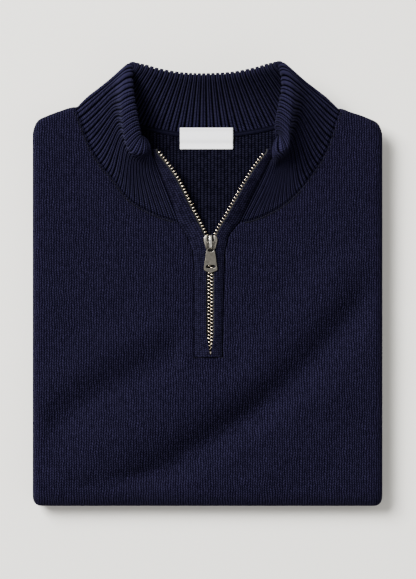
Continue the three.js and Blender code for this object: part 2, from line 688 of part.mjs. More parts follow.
// The slider: two plates round the chain, held apart by a wedge between the parting rows
const SLIDER = {
  y: 37.2, length: 12.6, topWidth: 12.4, lowWidth: 8.6,
  plate: 1.2, channel: 3.1, wedgeLength: 5, wedgeWidth: 3.4,
};
const CHAIN_Z = 27.8;
const SLIDER_TOP_Z = CHAIN_Z + SLIDER.channel / 2 + SLIDER.plate;

function sliderOutline() {
  const half = SLIDER.length / 2;
  const shape = new THREE.Shape();
  shape.moveTo(-SLIDER.lowWidth / 2, -half);
  shape.lineTo(SLIDER.lowWidth / 2, -half);
  shape.lineTo(SLIDER.topWidth / 2 - 0.5, -1);
  shape.quadraticCurveTo(SLIDER.topWidth / 2 + 0.3, half - 2, SLIDER.topWidth / 2 - 2.4, half);
  shape.lineTo(-SLIDER.topWidth / 2 + 2.4, half);
  shape.quadraticCurveTo(-SLIDER.topWidth / 2 - 0.3, half - 2, -SLIDER.topWidth / 2 + 0.5, -1);
  shape.closePath();
  return shape;
}

function plate(shape, thickness, low) {
  const options = { depth: thickness, bevelEnabled: false, curveSegments: 4 };
  const geometry = new THREE.ExtrudeGeometry(shape, options);
  geometry.translate(CHAIN_X, SLIDER.y, low);
  return geometry;
}

function sliderBody() {
  const upper = plate(sliderOutline(), SLIDER.plate, SLIDER_TOP_Z - SLIDER.plate);
  const lower = plate(sliderOutline(), SLIDER.plate, CHAIN_Z - SLIDER.channel / 2 - SLIDER.plate);
  const wedge = new THREE.Shape();
  const top = SLIDER.length / 2;
  wedge.moveTo(0, top - SLIDER.wedgeLength);
  wedge.lineTo(SLIDER.wedgeWidth / 2, top - 0.2);
  wedge.lineTo(-SLIDER.wedgeWidth / 2, top - 0.2);
  wedge.closePath();
  const post = plate(wedge, SLIDER.channel + 0.4, CHAIN_Z - SLIDER.channel / 2 - 0.2);
  const pieces = [upper, lower, post].map(toManifold);
  return fromManifold(pieces[0].add(pieces[1]).add(pieces[2]));
}

// The bridge is a low arch along the slider, and the pull tab's bar turns beneath it
const BRIDGE = { width: 4, halfLength: 6.2, height: 3.9, leg: 1.5, crown: 1.3 };
const PIVOT = { y: 36.9, z: SLIDER_TOP_Z + 1.55 };

function sliderBridge() {
  const { halfLength, height, leg, crown, width } = BRIDGE;
  const shape = new THREE.Shape();
  shape.moveTo(-halfLength, 0);
  shape.bezierCurveTo(-halfLength, height * 0.9, -halfLength * 0.6, height, 0, height);
  shape.bezierCurveTo(halfLength * 0.6, height, halfLength, height * 0.9, halfLength, 0);
  shape.lineTo(halfLength - leg, 0);
  const [inside, under] = [halfLength - leg, height - crown];
  shape.bezierCurveTo(inside, under, halfLength * 0.4, under, 0, under);
  shape.bezierCurveTo(-halfLength * 0.4, under, -inside, under, -inside, 0);
  shape.closePath();
  const geometry = new THREE.ExtrudeGeometry(shape, { depth: width, bevelEnabled: false, curveSegments: 6 });
  geometry.translate(0, 0, -width / 2);
  geometry.rotateX(Math.PI / 2);
  geometry.rotateZ(Math.PI / 2);
  geometry.translate(CHAIN_X, SLIDER.y, SLIDER_TOP_Z + 0.3);
  return geometry;
}

// The pull tab hangs from its bar and lies on the closed chain, its tip towards the hem
const TAB = {
  thickness: 1.3, reach: 27.7, topHalf: 3.3, neckReach: 6.2, lowHalf: 6.1, tip: 2.4,
  bar: 0.75, eyeHalf: 2.45, eyeReach: 8.3, slotHalf: 4.2, slotFrom: 20.6, slotTo: 23.2,
};
const TAB_TILT = THREE.MathUtils.degToRad(4.5);

function pullTab() {
  const shape = new THREE.Shape();
  shape.moveTo(-TAB.topHalf + 0.3, TAB.bar);
  shape.lineTo(TAB.topHalf - 0.3, TAB.bar);
  shape.lineTo(TAB.topHalf, 0);
  shape.lineTo(TAB.topHalf, -TAB.neckReach);
  shape.lineTo(TAB.topHalf + 0.7, -TAB.neckReach - 2);
  shape.lineTo(TAB.lowHalf, -TAB.reach + TAB.tip + 0.6);
  shape.quadraticCurveTo(TAB.lowHalf, -TAB.reach + TAB.tip, TAB.lowHalf - 0.9, -TAB.reach + TAB.tip);
  shape.lineTo(0, -TAB.reach);
  shape.lineTo(-TAB.lowHalf + 0.9, -TAB.reach + TAB.tip);
  shape.quadraticCurveTo(-TAB.lowHalf, -TAB.reach + TAB.tip, -TAB.lowHalf, -TAB.reach + TAB.tip + 0.6);
  shape.lineTo(-TAB.topHalf - 0.7, -TAB.neckReach - 2);
  shape.lineTo(-TAB.topHalf, -TAB.neckReach);
  shape.lineTo(-TAB.topHalf, 0);
  shape.closePath();
  const eye = new THREE.Path();
  eye.moveTo(-TAB.eyeHalf, -TAB.bar);
  eye.lineTo(-TAB.eyeHalf, -TAB.eyeReach + 1.4);
  eye.quadraticCurveTo(0, -TAB.eyeReach - 0.4, TAB.eyeHalf, -TAB.eyeReach + 1.4);
  eye.lineTo(TAB.eyeHalf, -TAB.bar);
  eye.closePath();
  const slot = new THREE.Path();
  const round = (TAB.slotTo - TAB.slotFrom) / 2;
  slot.absarc(TAB.slotHalf - round, -TAB.slotFrom - round, round, -Math.PI / 2, Math.PI / 2, false);
  slot.absarc(-TAB.slotHalf + round, -TAB.slotFrom - round, round, Math.PI / 2, 1.5 * Math.PI, false);
  slot.closePath();
  shape.holes.push(eye, slot);
  const depth = TAB.thickness;
  const geometry = new THREE.ExtrudeGeometry(shape, { depth, bevelEnabled: false, curveSegments: 4 });
  geometry.translate(0, 0, -depth / 2);
  geometry.rotateX(TAB_TILT);
  return geometry;
}

const group = new THREE.Group();
group.position.y = CENTRE_SHIFT_Y;

function add(name, geometry, surface) {
  const mesh = new THREE.Mesh(geometry, surface);
  mesh.name = name;
  group.add(mesh);
  return mesh;
}

add('front_panel', frontPanel(), KNIT);
add('back_panel', backPanel(), KNIT);
add('hidden_layers', hiddenLayersGeometry(), KNIT);
add('collar', collarGeometry(), RIB);
add('placket_left', placket(LEFT_EDGE, ZIP, -1), KNIT);
add('placket_right', placket(RIGHT_EDGE, ZIP_RIGHT, 1), KNIT);

const toothEdge = TOOTH_ROW.width / 2;
const tapeFrom = toothEdge + LAYER_GAP;
for (const [side, rows, outward] of [['left', ZIP, -1], ['right', ZIP_RIGHT, 1]]) {
  const teeth = zipStrip(rows, outward, -toothEdge, toothEdge, TOOTH_ROW.height, ZIP_TOP_Y, ZIP_BOTTOM_Y);
  const tapeTo = tapeFrom + TAPE_STRIP.width;
  const tape = zipStrip(rows, outward, tapeFrom, tapeTo, TAPE_STRIP.height, ZIP_TOP_Y, PLACKET_BOTTOM_Y);
  add(`zip_teeth_${side}`, teeth, TOOTH);
  add(`zip_tape_${side}`, tape, TAPE);
}
const stopStations = [ZIP_BOTTOM_Y - 0.4, ZIP_BOTTOM_Y - 3].map((y) => {
  const z = CHAIN_Z;
  return { left: CHAIN_X - 2.3, right: CHAIN_X + 2.3, y, zLeft: z, zRight: z };
});
add('bottom_stop', strip(stopStations, TOOTH_ROW.height), TOOTH);
add('slider_body', sliderBody(), NICKEL);
add('slider_bridge', sliderBridge(), NICKEL);
const tab = add('pull_tab', pullTab(), NICKEL);
tab.position.set(CHAIN_X, PIVOT.y, PIVOT.z);
add('neck_tape', neckTape(), TAPE);
add('label', label(), LABEL);

export default group;
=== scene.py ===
import math

import bmesh
import bpy
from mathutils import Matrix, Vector


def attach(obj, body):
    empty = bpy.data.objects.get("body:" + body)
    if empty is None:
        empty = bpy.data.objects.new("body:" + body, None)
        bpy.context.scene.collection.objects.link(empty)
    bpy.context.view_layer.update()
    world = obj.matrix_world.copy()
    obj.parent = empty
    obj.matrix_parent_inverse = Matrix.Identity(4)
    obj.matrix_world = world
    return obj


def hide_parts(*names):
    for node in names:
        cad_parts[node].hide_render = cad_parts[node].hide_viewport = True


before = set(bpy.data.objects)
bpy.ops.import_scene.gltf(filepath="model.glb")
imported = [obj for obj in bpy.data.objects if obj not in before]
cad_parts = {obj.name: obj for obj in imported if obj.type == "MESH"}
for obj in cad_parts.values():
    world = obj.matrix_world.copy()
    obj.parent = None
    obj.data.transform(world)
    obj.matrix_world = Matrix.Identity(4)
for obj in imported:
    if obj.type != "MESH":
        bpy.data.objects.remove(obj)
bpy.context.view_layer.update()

# Studio: a pale matt floor under a large soft light from the upper left, with even fill.
# The camera looks straight down at the folded sweater from 2.5 m, its collar at the top.
MM = 0.001
VIEW_CENTRE = (0.45, -3.75)
CAMERA_HEIGHT = 2515.0
FRAME_LONG_SIDE = 521.1
SENSOR = 36.0

camera = bpy.data.objects.new("camera", bpy.data.cameras.new("camera"))
camera.data.sensor_width = SENSOR
camera.data.lens = SENSOR * (CAMERA_HEIGHT - 15) / FRAME_LONG_SIDE
camera.data.clip_end = 20
camera.location = (VIEW_CENTRE[0] * MM, VIEW_CENTRE[1] * MM, CAMERA_HEIGHT * MM)
bpy.context.scene.collection.objects.link(camera)
bpy.context.scene.camera = camera


def linear(hex_colour):
    channels = [int(hex_colour[i:i + 2], 16) / 255 for i in (1, 3, 5)]
    return [c / 12.92 if c <= 0.04045 else ((c + 0.055) / 1.055) ** 2.4 for c in channels] + [1.0]


def node(tree, kind, links=(), **settings):
    """One node: its settings by name, and its inputs by (input, value or source), where a node
    given as a source stands for its first output."""
    made = tree.nodes.new(kind)
    for name, value in settings.items():
        setattr(made, name, value)
    for place, source in links:
        if isinstance(source, bpy.types.Node):
            source = source.outputs[0]
        if isinstance(source, bpy.types.NodeSocket):
            tree.links.new(source, made.inputs[place])
        else:
            made.inputs[place].default_value = source
    return made


def new_finish(name, base, roughness, **sockets):
    """A material with its Principled shader, and the shader itself."""
    finish = bpy.data.materials.new(name)
    finish.use_nodes = True
    shader = finish.node_tree.nodes["Principled BSDF"]
    shader.inputs["Base Color"].default_value = linear(base)
    shader.inputs["Roughness"].default_value = roughness
    for socket, value in sockets.items():
        shader.inputs[socket.replace("_", " ")].default_value = value
    return finish, shader


def speckled_finish(name, base, roughness, scale, dark, light, detail=2.0, **sockets):
    """A material that wavers between two tones in fine specks, its shader, and the specks."""
    finish, shader = new_finish(name, base, roughness, **sockets)
    lay = node(finish.node_tree, "ShaderNodeTexCoord").outputs["Object"]
    specks = node(finish.node_tree, "ShaderNodeTexNoise", [
        ("Vector", lay), ("Scale", scale), ("Detail", detail)])
    tone = node(finish.node_tree, "ShaderNodeMix", [
        (0, specks.outputs["Fac"]), (6, linear(dark)), (7, linear(light))], data_type="RGBA")
    finish.node_tree.links.new(tone.outputs[2], shader.inputs["Base Color"])
    return finish, shader, specks


def mesh_of(shape, name):
    """The mesh that a bmesh has built up."""
    mesh_data = bpy.data.meshes.new(name)
    shape.to_mesh(mesh_data)
    shape.free()
    return mesh_data


def finished(mesh_data, name, finish, body="sweater"):
    """A mesh becomes a smooth piece that rides on a body."""
    piece = bpy.data.objects.new(name, mesh_data)
    bpy.context.scene.collection.objects.link(piece)
    mesh_data.materials.append(finish)
    mesh_data.polygons.foreach_set("use_smooth", [True] * len(mesh_data.polygons))
    if body:
        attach(piece, body)
    return piece


FLOOR_HALF = 3.0
FLOOR_Z = -0.0004
# Warm white card, so faintly clouded that it reads as paper and not as a blank
paper, paper_shader = new_finish("matt_paper", "#f3f0e9", 0.95)
paper_grain = node(paper.node_tree, "ShaderNodeTexNoise", [("Scale", 30.0), ("Detail", 3.0)])
paper_tone = node(paper.node_tree, "ShaderNodeMix", [
    (0, paper_grain.outputs["Fac"]), (6, linear("#f2f0e8")), (7, linear("#f5f2eb"))], data_type="RGBA")
paper.node_tree.links.new(paper_tone.outputs[2], paper_shader.inputs["Base Color"])
floor_shape = bmesh.new()
bmesh.ops.create_grid(floor_shape, x_segments=1, y_segments=1, size=FLOOR_HALF)
bmesh.ops.translate(floor_shape, verts=floor_shape.verts, vec=(0, 0, FLOOR_Z))
floor = finished(mesh_of(floor_shape, "floor"), "floor", paper, body=None)

for light_name, place, size, power in [
    ("key", (-2.4, 2.1, 3.6), 2.3, 715.0),
    ("fill", (1.4, -1.1, 2.6), 2.4, 16.0),
]:
    light = bpy.data.objects.new(light_name, bpy.data.lights.new(light_name, "AREA"))
    light.data.size = size
    light.data.energy = power
    light.location = place
    light.rotation_euler = (-Vector(place)).to_track_quat("-Z", "Y").to_euler()
    bpy.context.scene.collection.objects.link(light)
sky = bpy.data.worlds.new("studio")
sky.use_nodes = True
sky.node_tree.nodes["Background"].inputs["Color"].default_value = linear("#f7f6f4")
sky.node_tree.nodes["Background"].inputs["Strength"].default_value = 0.5
bpy.context.scene.world = sky


# The folded body: fine plain knit, each side folded behind and the lower half folded under.
# Its layers that can't be seen lie in one soft-edged stack, whose edges show as grooves.
HALF_WIDTH = 157.0
BOTTOM_FOLD_Y = -200.2
FOLD_Z = 14.0
SHIFT_Y = 1.65
CHAIN_X = 2.7
KNIT_THICKNESS = 2.8
BACK_DEPTH = 2.9
SHOULDER_ROLL = 6.0
SIDE_ROLL = 6.85
SIDE_ROLL_END = math.pi * 0.93
SIDE_CENTRE_X = HALF_WIDTH - SIDE_ROLL
BOTTOM_CENTRE_Y = BOTTOM_FOLD_Y + FOLD_Z
HEM_END_Y = 118.0

SHOULDER = [
    (-157, 135), (-155.5, 141), (-152, 146.4), (-146, 149.6), (-132.5, 154.8), (-119.5, 158.4),
    (0, 160), (119.5, 157), (128, 154), (137, 151.2), (146, 147.6), (151.5, 144.9), (155, 141), (157, 134.5),
]

# Each crease: from x, y to x, y, how far it bows, its half width and its height
MAIN_CREASES = [
    (143, -12, 44, -116, -4, 15, -8.0), (44, -116, -90, -194, -2, 15, -11.0),
    (130, 24, 34, -86, -4, 20, 3.4), (34, -86, -126, -170, 4, 20, 3.2),
    (-20, -59, -144, -131, 4, 15, -6.0), (-34, -34, -146, -96, 4, 16, 2.2),
    (128, -84, 40, -176, 5, 18, 1.6), (96, -120, 10, -186, 3, 12, -1.6),
]
SOFT_CREASES = [
    (150, -60, 90, -150, 4, 16, 0.5), (-60, -20, -146, -60, 5, 13, -0.6), (-146, 80, -110, -10, 4, 12, -0.5),
    (120, -150, 20, -194, 4, 12, 0.45), (146, 60, 70, 20, 3, 12, -0.5), (-30, -150, -120, -192, -4, 9, 0.5),
    (-140, -140, -60, -196, -5, 10, -0.4), (96, 30, 52, -30, 3, 9, -0.35),
]


def mix(a, b, t):
    return a + (b - a) * t


def smooth(low, high, value):
    t = min(1.0, max(0.0, (value - low) / (high - low)))
    return t * t * (3 - 2 * t)


def flattened(value, power):
    """A sine or cosine pushed towards 1, which flattens a round section."""
    return math.copysign(abs(value) ** power, value)


def along(rows, at, column=1):
    """A column of a table as a smooth curve over its first column."""
    i = 0
    while i < len(rows) - 2 and at > rows[i + 1][0]:
        i += 1

    def slope(n):
        a, b = rows[max(0, n - 1)], rows[min(len(rows) - 1, n + 1)]
        return (b[column] - a[column]) / (b[0] - a[0])

    step = rows[i + 1][0] - rows[i][0]
    t = (at - rows[i][0]) / step
    ends = rows[i][column], rows[i + 1][column]
    rise = slope(i) * step, slope(i + 1) * step
    t2, t3 = t * t, t * t * t
    return ((2 * t3 - 3 * t2 + 1) * ends[0] + (t3 - 2 * t2 + t) * rise[0]
            + (3 * t2 - 2 * t3) * ends[1] + (t3 - t2) * rise[1])


def crease_height(x, y):
    height = 0.0
    for x0, y0, x1, y1, bow, width, crest in MAIN_CREASES + SOFT_CREASES:
        dx, dy = x1 - x0, y1 - y0
        length = math.hypot(dx, dy)
        s = ((x - x0) * dx + (y - y0) * dy) / (length * length)
        if not -0.22 < s < 1.22:
            continue
        off = ((x - x0) * dy - (y - y0) * dx) / length - bow * 4 * s * (1 - s)
        ends = smooth(-0.22, 0.16, s) * (1 - smooth(0.84, 1.22, s))
        height += crest * ends * math.exp(-((off / width) ** 2))
    beside = smooth(20, 36, abs(x - CHAIN_X))
    below = 1 - smooth(-86, -70, y)
    calm = max(beside, below) * (1 - smooth(10, 40, y))
    rim = 1 - smooth(SIDE_CENTRE_X - 14, SIDE_CENTRE_X + 4, abs(x))
    above_fold = smooth(BOTTOM_CENTRE_Y - 1, BOTTOM_CENTRE_Y + 16, y)
    return height * calm * mix(0.3, 1, rim) * above_fold


def cloth_point(depth, x, roll, side, shoulder, flat, bottom):
    """A point of the folded cloth, in mm, at a depth below its outer face."""
    radius = max(0.05, SIDE_ROLL - depth)
    out_x = x + side * radius * math.sin(roll)
    outer_x = x + side * SIDE_ROLL * math.sin(roll)
    drop = depth + radius * (1 - math.cos(roll))
    start_y = along(SHOULDER, min(HALF_WIDTH, max(-HALF_WIDTH, outer_x))) - SHOULDER_ROLL
    y = mix(start_y, BOTTOM_CENTRE_Y, flat)
    lift = crease_height(out_x, y) / FOLD_Z * math.cos(bottom / 2) ** 2
    reach = max(0.12, (FOLD_Z - drop) * (1 + lift))
    if shoulder > 0:
        turn = max(0.0, SHOULDER_ROLL - depth)
        upper = 1 - smooth(math.pi * 0.25, math.pi * 0.6, roll)
        z = FOLD_Z + reach - upper * turn * (1 - math.cos(shoulder))
        return Vector((out_x, start_y + mix(SHOULDER_ROLL, turn, upper) * math.sin(shoulder), z))
    if bottom > 0:
        return Vector((out_x, y - reach * math.sin(bottom), FOLD_Z + reach * math.cos(bottom)))
    return Vector((out_x, y, FOLD_Z + reach))


def across_place(a):
    """Where a length in mm across the cloth lies: its x, how far it has rolled, and the side."""
    over = abs(a) - SIDE_CENTRE_X
    if over <= 0:
        return a, 0.0, 0
    return math.copysign(SIDE_CENTRE_X, a), over / SIDE_ROLL, int(math.copysign(1, a))


def to_frame(p):
    return Vector((p.x * MM, (p.y + SHIFT_Y) * MM, p.z * MM))


def knit_finish(
        name, dark, light, wale, course, relief=0.9, slant=0.62, wander=0.0, uneven=0.6, gap=0.0, crown=0.28,
        dip=0.3, rib=0.0, rim=0.0):
    """Plain knit of matt navy yarn, drawn on the piece's own lay in mm: each wale is a column of V
    loops, with a painted highlight on the crown of the yarn and painted shade between the wales,
    no two loops quite alike. wale, course and relief are a loop's width, height and depth, rib a
    rib's width and rim where the band turns over, all in mm. slant leans the legs, wander bends
    the wales, gap and dip are how light the painted shade stays between wales and loops, and
    crown is how soon the painted highlight is full."""
    finish, shader = new_finish(name, light, 0.9, Sheen_Weight=0.06, Sheen_Roughness=0.45)
    shader.inputs["Sheen Tint"].default_value = linear("#8c8cac")
    shader.inputs["Specular IOR Level"].default_value = 0.0
    tree = finish.node_tree
    soft = {"interpolation_type": "SMOOTHSTEP"}
    lay = node(tree, "ShaderNodeUVMap", uv_map="lay").outputs[0]
    across, down, _ = node(tree, "ShaderNodeSeparateXYZ", [(0, lay)]).outputs
    drift = node(tree, "ShaderNodeTexNoise", [("Vector", lay), ("Scale", 0.09), ("Detail", 2.0)])
    counts = []
    for way, size in [(across, wale), (down, course)]:
        drifted = node(
            tree, "ShaderNodeMath", [(0, drift), (1, wale * wander), (2, way)], operation="MULTIPLY_ADD")
        counts.append(node(tree, "ShaderNodeMath", [(0, drifted), (1, size)], operation="DIVIDE"))
    wales, courses = counts
    fold = node(tree, "ShaderNodeMath", [(0, wales), (1, 0.5)], operation="PINGPONG")
    # Two legs make a V: their loops slant one way and back
    pair = node(tree, "ShaderNodeMath", [(0, wales), (1, 1.0)], operation="PINGPONG")
    legs = node(tree, "ShaderNodeMath", [(0, pair), (1, slant), (2, courses)], operation="MULTIPLY_ADD")
    leg_fold = node(tree, "ShaderNodeMath", [(0, legs), (1, 0.5)], operation="PINGPONG")
    # The loop relief is painted into the colour too: painted shade between wales and loops, a painted
    # highlight on the crowns
    along_loop = node(tree, "ShaderNodeMapRange", [(0, leg_fold), (1, 0.0), (2, 0.45), (3, dip)], **soft)
    across_wale = node(tree, "ShaderNodeMapRange", [(0, fold), (1, 0.03), (2, crown), (3, gap)], **soft)
    height = node(tree, "ShaderNodeMath", [(0, along_loop), (1, across_wale)], operation="MULTIPLY")
    # Each leg catches the light a little differently, and the yarn is uneven along its length
    leg_count = node(tree, "ShaderNodeMath", [(0, wales)], operation="FLOOR")
    leg_number = node(tree, "ShaderNodeMath", [(0, legs)], operation="FLOOR")
    leg_place = node(tree, "ShaderNodeCombineXYZ", [(0, leg_count), (1, leg_number)])
    leg_noise = node(tree, "ShaderNodeTexWhiteNoise", [("Vector", leg_place)])
    leg_tone = node(tree, "ShaderNodeMapRange", [
        (0, leg_noise.outputs["Value"]), (3, 1 - uneven / 2), (4, 1 + uneven / 2)])
    fuzz = node(tree, "ShaderNodeTexNoise", [("Vector", lay), ("Scale", 0.34), ("Detail", 3.0)])
    fuzz_tone = node(tree, "ShaderNodeMapRange", [(0, fuzz.outputs["Fac"]), (3, 0.6), (4, 1.4)])
    shades = [leg_tone, fuzz_tone]
    if rib:
        # Little light reaches the groove between two ribs
        ribs = node(tree, "ShaderNodeMath", [(0, across), (1, rib)], operation="DIVIDE")
        rib_fold = node(tree, "ShaderNodeMath", [(0, ribs), (1, 0.5)], operation="PINGPONG")
        rib_lit = node(tree, "ShaderNodeMapRange", [
            (0, rib_fold), (1, 0.5), (2, 0.28), (3, 0.12), (4, 1.0)], **soft)
        # The ribs part on the rolled rim, which stands in the light, and the side turned in keeps less of it
        rim_lit = node(tree, "ShaderNodeMapRange", [
            (0, rib_fold), (1, 0.5), (2, 0.22), (3, 0.2), (4, 2.1)], **soft)
        on_rim = node(tree, "ShaderNodeMapRange", [(0, down), (1, rim - 16), (2, rim - 8)], **soft)
        lit = node(tree, "ShaderNodeMix", [(0, on_rim), (2, rib_lit), (3, rim_lit)])
        turned_in = node(tree, "ShaderNodeMapRange", [
            (0, down), (1, rim + 5), (2, rim + 16), (3, 1.0), (4, 0.6)], **soft)
        # Painted shade: a dark line in the recess where the band is linked to the neck
        seam_painted_shade = node(tree, "ShaderNodeMapRange", [
            (0, down), (1, 1.2), (2, 3.2), (3, 0.45), (4, 1.0)], **soft)
        shades += [lit, turned_in, seam_painted_shade]
    shade = height
    for factor in shades:
        shade = node(tree, "ShaderNodeMath", [(0, shade), (1, factor)], operation="MULTIPLY")
    tone = node(tree, "ShaderNodeMix", [
        (0, shade), (6, linear(dark)), (7, linear(light))], data_type="RGBA")
    tree.links.new(tone.outputs[2], shader.inputs["Base Color"])
    bump = node(tree, "ShaderNodeBump", [("Height", height), ("Distance", relief * MM), ("Strength", 0.9)])
    tree.links.new(bump.outputs[0], shader.inputs["Normal"])
    return finish


# The outside of the body: small even V loops, which read as fine upright lines with a soft grain
plain_knit = knit_finish(
    "fine_plain_knit", "#000001", "#221f35", wale=2.22, course=2.25, slant=1.0, wander=1.5, uneven=0.5,
    gap=0.15, crown=0.4, dip=0.25)


def laid_cloth(name, columns, rows, place, lay, finish):
    """Cloth from a flat grid of -1 to 1 each way: place gives each point, lay its place in the knit."""
    cloth = bmesh.new()
    bmesh.ops.create_grid(cloth, x_segments=columns, y_segments=rows, size=1)
    knit_lay = cloth.loops.layers.uv.new("lay")
    for face in cloth.faces:
        for corner in face.loops:
            corner[knit_lay].uv = lay(corner.vert.co.x, corner.vert.co.y)
    for vert in cloth.verts:
        vert.co = to_frame(place(vert.co.x, vert.co.y))
    bmesh.ops.remove_doubles(cloth, verts=cloth.verts, dist=0.00002)
    bmesh.ops.recalc_face_normals(cloth, faces=cloth.faces)
    return finished(mesh_of(cloth, name), name, finish)


# Round the stack's section: along the top, round the bottom fold, back along the underside,
# up over the edges of the layers below the hem, and over those at the shoulders.
STACK_DEPTH = 3.15
LAYER_EDGES = [
    (0.0, 1.0, 1.6), (0.12, 0.84, 0.6), (0.26, 0.68, 0.0), (0.4, 0.52, 0.4), (0.47, 0.46, 2.6),
    (0.56, 0.4, 0.4), (0.7, 0.25, 0.0), (0.86, 0.1, 0.6), (1.0, 0.02, 2.6),
]
UNDER_EDGES = [
    (0.0, 1.0, 0.6), (0.08, 0.93, 0.0), (0.2, 0.8, 0.2), (0.3, 0.7, 2.6), (0.36, 0.66, 0.5), (0.5, 0.5, 0.0),
    (0.62, 0.38, 2.4), (0.7, 0.33, 0.4), (0.84, 0.16, 0.2), (1.0, 0.04, 1.4),
]
STACK_PARTS = [("top", 34), ("fold", 12), ("under", 30), ("hem", 20), ("between", 3), ("shoulder", 20)]
STACK_STEPS = sum(count for _, count in STACK_PARTS)


def stack_point(x, roll, side, step):
    step = min(max(step, 0.0), STACK_STEPS - 1e-6)
    for part, count in STACK_PARTS:
        if step < count:
            break
        step -= count
    t = step / count
    crease = smooth(0.97, 1.0, roll / math.pi)
    drop = SIDE_ROLL * (1 - math.cos(roll))
    out_x = x + side * (SIDE_ROLL * math.sin(roll) + 0.25 * crease)
    lower = (FOLD_Z - drop) * (1 - crease)
    start = cloth_point(STACK_DEPTH, x, min(roll, SIDE_ROLL_END), side, 0, 0, 0)
    if part == "top":
        p = cloth_point(STACK_DEPTH, x, min(roll, SIDE_ROLL_END), side, 0, t, 0)
        return Vector((p.x, p.y - 2.8 * (1 - t), mix(p.z, FOLD_Z, crease)))
    if part == "fold":
        turn = math.pi * t
        depth = STACK_DEPTH * (1 - smooth(0.84, 0.87, t))
        p = cloth_point(depth, x, min(roll, SIDE_ROLL_END), side, 0, 1, turn)
        return Vector((p.x, mix(p.y, BOTTOM_CENTRE_Y, crease), mix(p.z, FOLD_Z, crease)))
    if part == "under":
        return Vector((out_x, mix(BOTTOM_CENTRE_Y, HEM_END_Y, t), FOLD_Z - lower))
    if part == "hem":
        scale, inset = min(1.0, max(0.0, along(UNDER_EDGES, t, 1))), max(0.0, along(UNDER_EDGES, t, 2))
        return Vector((
            out_x - side * 0.8 * inset * math.sin(roll), HEM_END_Y - inset, FOLD_Z - lower * scale))
    if part == "between":
        return Vector((
            out_x - side * 2 * math.sin(roll), mix(HEM_END_Y - 1, start.y - 5.4, t),
            FOLD_Z - 0.3 * (1 - t)))
    scale = min(1.0, max(0.0, along(LAYER_EDGES, 1 - t, 1)))
    inset = 1.2 + max(0.0, along(LAYER_EDGES, 1 - t, 2))
    inward = max(0.0, abs(start.x) - SIDE_CENTRE_X) * (1 - scale * 0.92)
    return Vector((
        start.x - math.copysign(inward, start.x), start.y - inset, FOLD_Z + (start.z - FOLD_Z) * scale))


STACK_HALF = SIDE_CENTRE_X + SIDE_ROLL * math.pi


def stack_place(u, v):
    x, roll, side = across_place(u * STACK_HALF)
    return stack_point(x, roll, side, (v + 1) / 2 * STACK_STEPS)


folded_layers = laid_cloth(
    "folded_layers", 130, STACK_STEPS, stack_place,
    lambda u, v: (u * STACK_HALF, (v + 1) / 2 * STACK_STEPS * 9.5), plain_knit)
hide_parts("hidden_layers")


# Collar: one band of 2 by 2 rib, doubled at the rim and linked to the neck, standing open.
# Each row of the table is a place along the band, in ribs: its foot, its rim, and its knee.
RIB_COUNT = 77
RIB_WALE = 2.35
LEFT_FOLD_RIB = 22
RIGHT_FOLD_RIB = 55
BAND = [
    (0, -26.4, 55.5, 27.2, -52, 121.3, 45, 0.5, 31), (3, -41.6, 60, 27.2, -54.2, 121.1, 49, 0.56, 32),
    (6, -58.2, 67.6, 27.2, -56.7, 121, 52, 0.62, 33), (9, -72.1, 77.4, 27.2, -59.8, 121.2, 55, 0.68, 34),
    (12, -83.7, 92.7, 27.2, -63.3, 123.4, 57, 0.72, 34), (14, -93.6, 104.3, 27.2, -66.3, 133, 58, 0.72, 34),
    (17, -105.2, 123.1, 27.2, -69, 150.7, 58, 0.68, 34), (20, -113.3, 144.6, 27, -71.2, 171.1, 57, 0.6, 34),
    (22, -116.9, 156.3, 25.8, -70, 190, 54, 0.5, 31), (25, -92.8, 149.8, 23.8, -59, 191, 52, 0.5, 27),
    (28.5, -69.5, 143.5, 23.6, -43.9, 187.1, 51, 0.52, 26), (33, -39, 136.3, 23.6, -23.5, 183.6, 50, 0.54, 26),
    (38.5, -0.4, 132.3, 23.6, -1.3, 182.7, 50, 0.55, 26), (44, 39, 136.3, 23.6, 22.6, 184.1, 50, 0.54, 26),
    (48.5, 69.5, 143, 23.6, 43, 188, 51, 0.52, 26), (52, 92.8, 148.9, 23.8, 57.2, 191.9, 52, 0.5, 27),
    (55, 116.9, 155, 25.8, 67.3, 190.8, 54, 0.5, 31), (57, 114.2, 142.8, 27, 71.2, 172.9, 57, 0.6, 34),
    (60, 105.2, 117.7, 27.2, 68.6, 152.5, 58, 0.68, 34), (63, 91.8, 96.3, 27.2, 65.5, 134.8, 58, 0.72, 34),
    (65, 81.9, 83.7, 27.2, 65, 125.6, 57, 0.72, 31.5), (68, 69.4, 72.1, 27.2, 64.2, 122.1, 55, 0.68, 30),
    (71, 56, 64, 27.2, 63.4, 121, 52, 0.62, 29.5), (74, 42.5, 58.2, 27.2, 62.6, 120.2, 49, 0.56, 31),
    (77, 29.1, 55.1, 27.2, 61.8, 119.5, 45, 0.5, 35),
]
HALF_AT_FOOT, HALF_AT_MIDDLE, HALF_AT_RIM = 1.4, 3.0, 3.6
RIB_SWELL = 0.5
RIB_GROOVE = 1.3
band_columns = {}


def band_at(rib):
    """The foot, knee and rim of the band at a rib."""
    if rib not in band_columns:
        c = [along(BAND, rib, column) for column in range(1, 9)]
        foot, rim = Vector(c[0:3]), Vector(c[3:6])
        knee = foot.lerp(rim, c[6])
        knee.z = c[7]
        band_columns[rib] = (foot, knee, rim)
    return band_columns[rib]


def band_centre(rib, t):
    foot, knee, rim = band_at(rib)
    return foot * (1 - t) ** 2 + knee * (2 * t * (1 - t)) + rim * t * t


def band_frame(rib, t):
    low, high = max(0, rib - 0.25), min(RIB_COUNT, rib + 0.25)
    bandwise = (band_centre(high, t) - band_centre(low, t)).normalized()
    rise = (band_centre(rib, min(1, t + 0.03)) - band_centre(rib, max(0, t - 0.03))).normalized()
    out = rise.cross(bandwise).normalized()
    sideways = Vector((rise.y, -rise.x, 0)).normalized()
    near_zip = 1 - smooth(0, 3, min(rib, RIB_COUNT - rib))
    out = (out - sideways * (near_zip * out.dot(sideways))).normalized()
    return band_centre(rib, t), out, rise


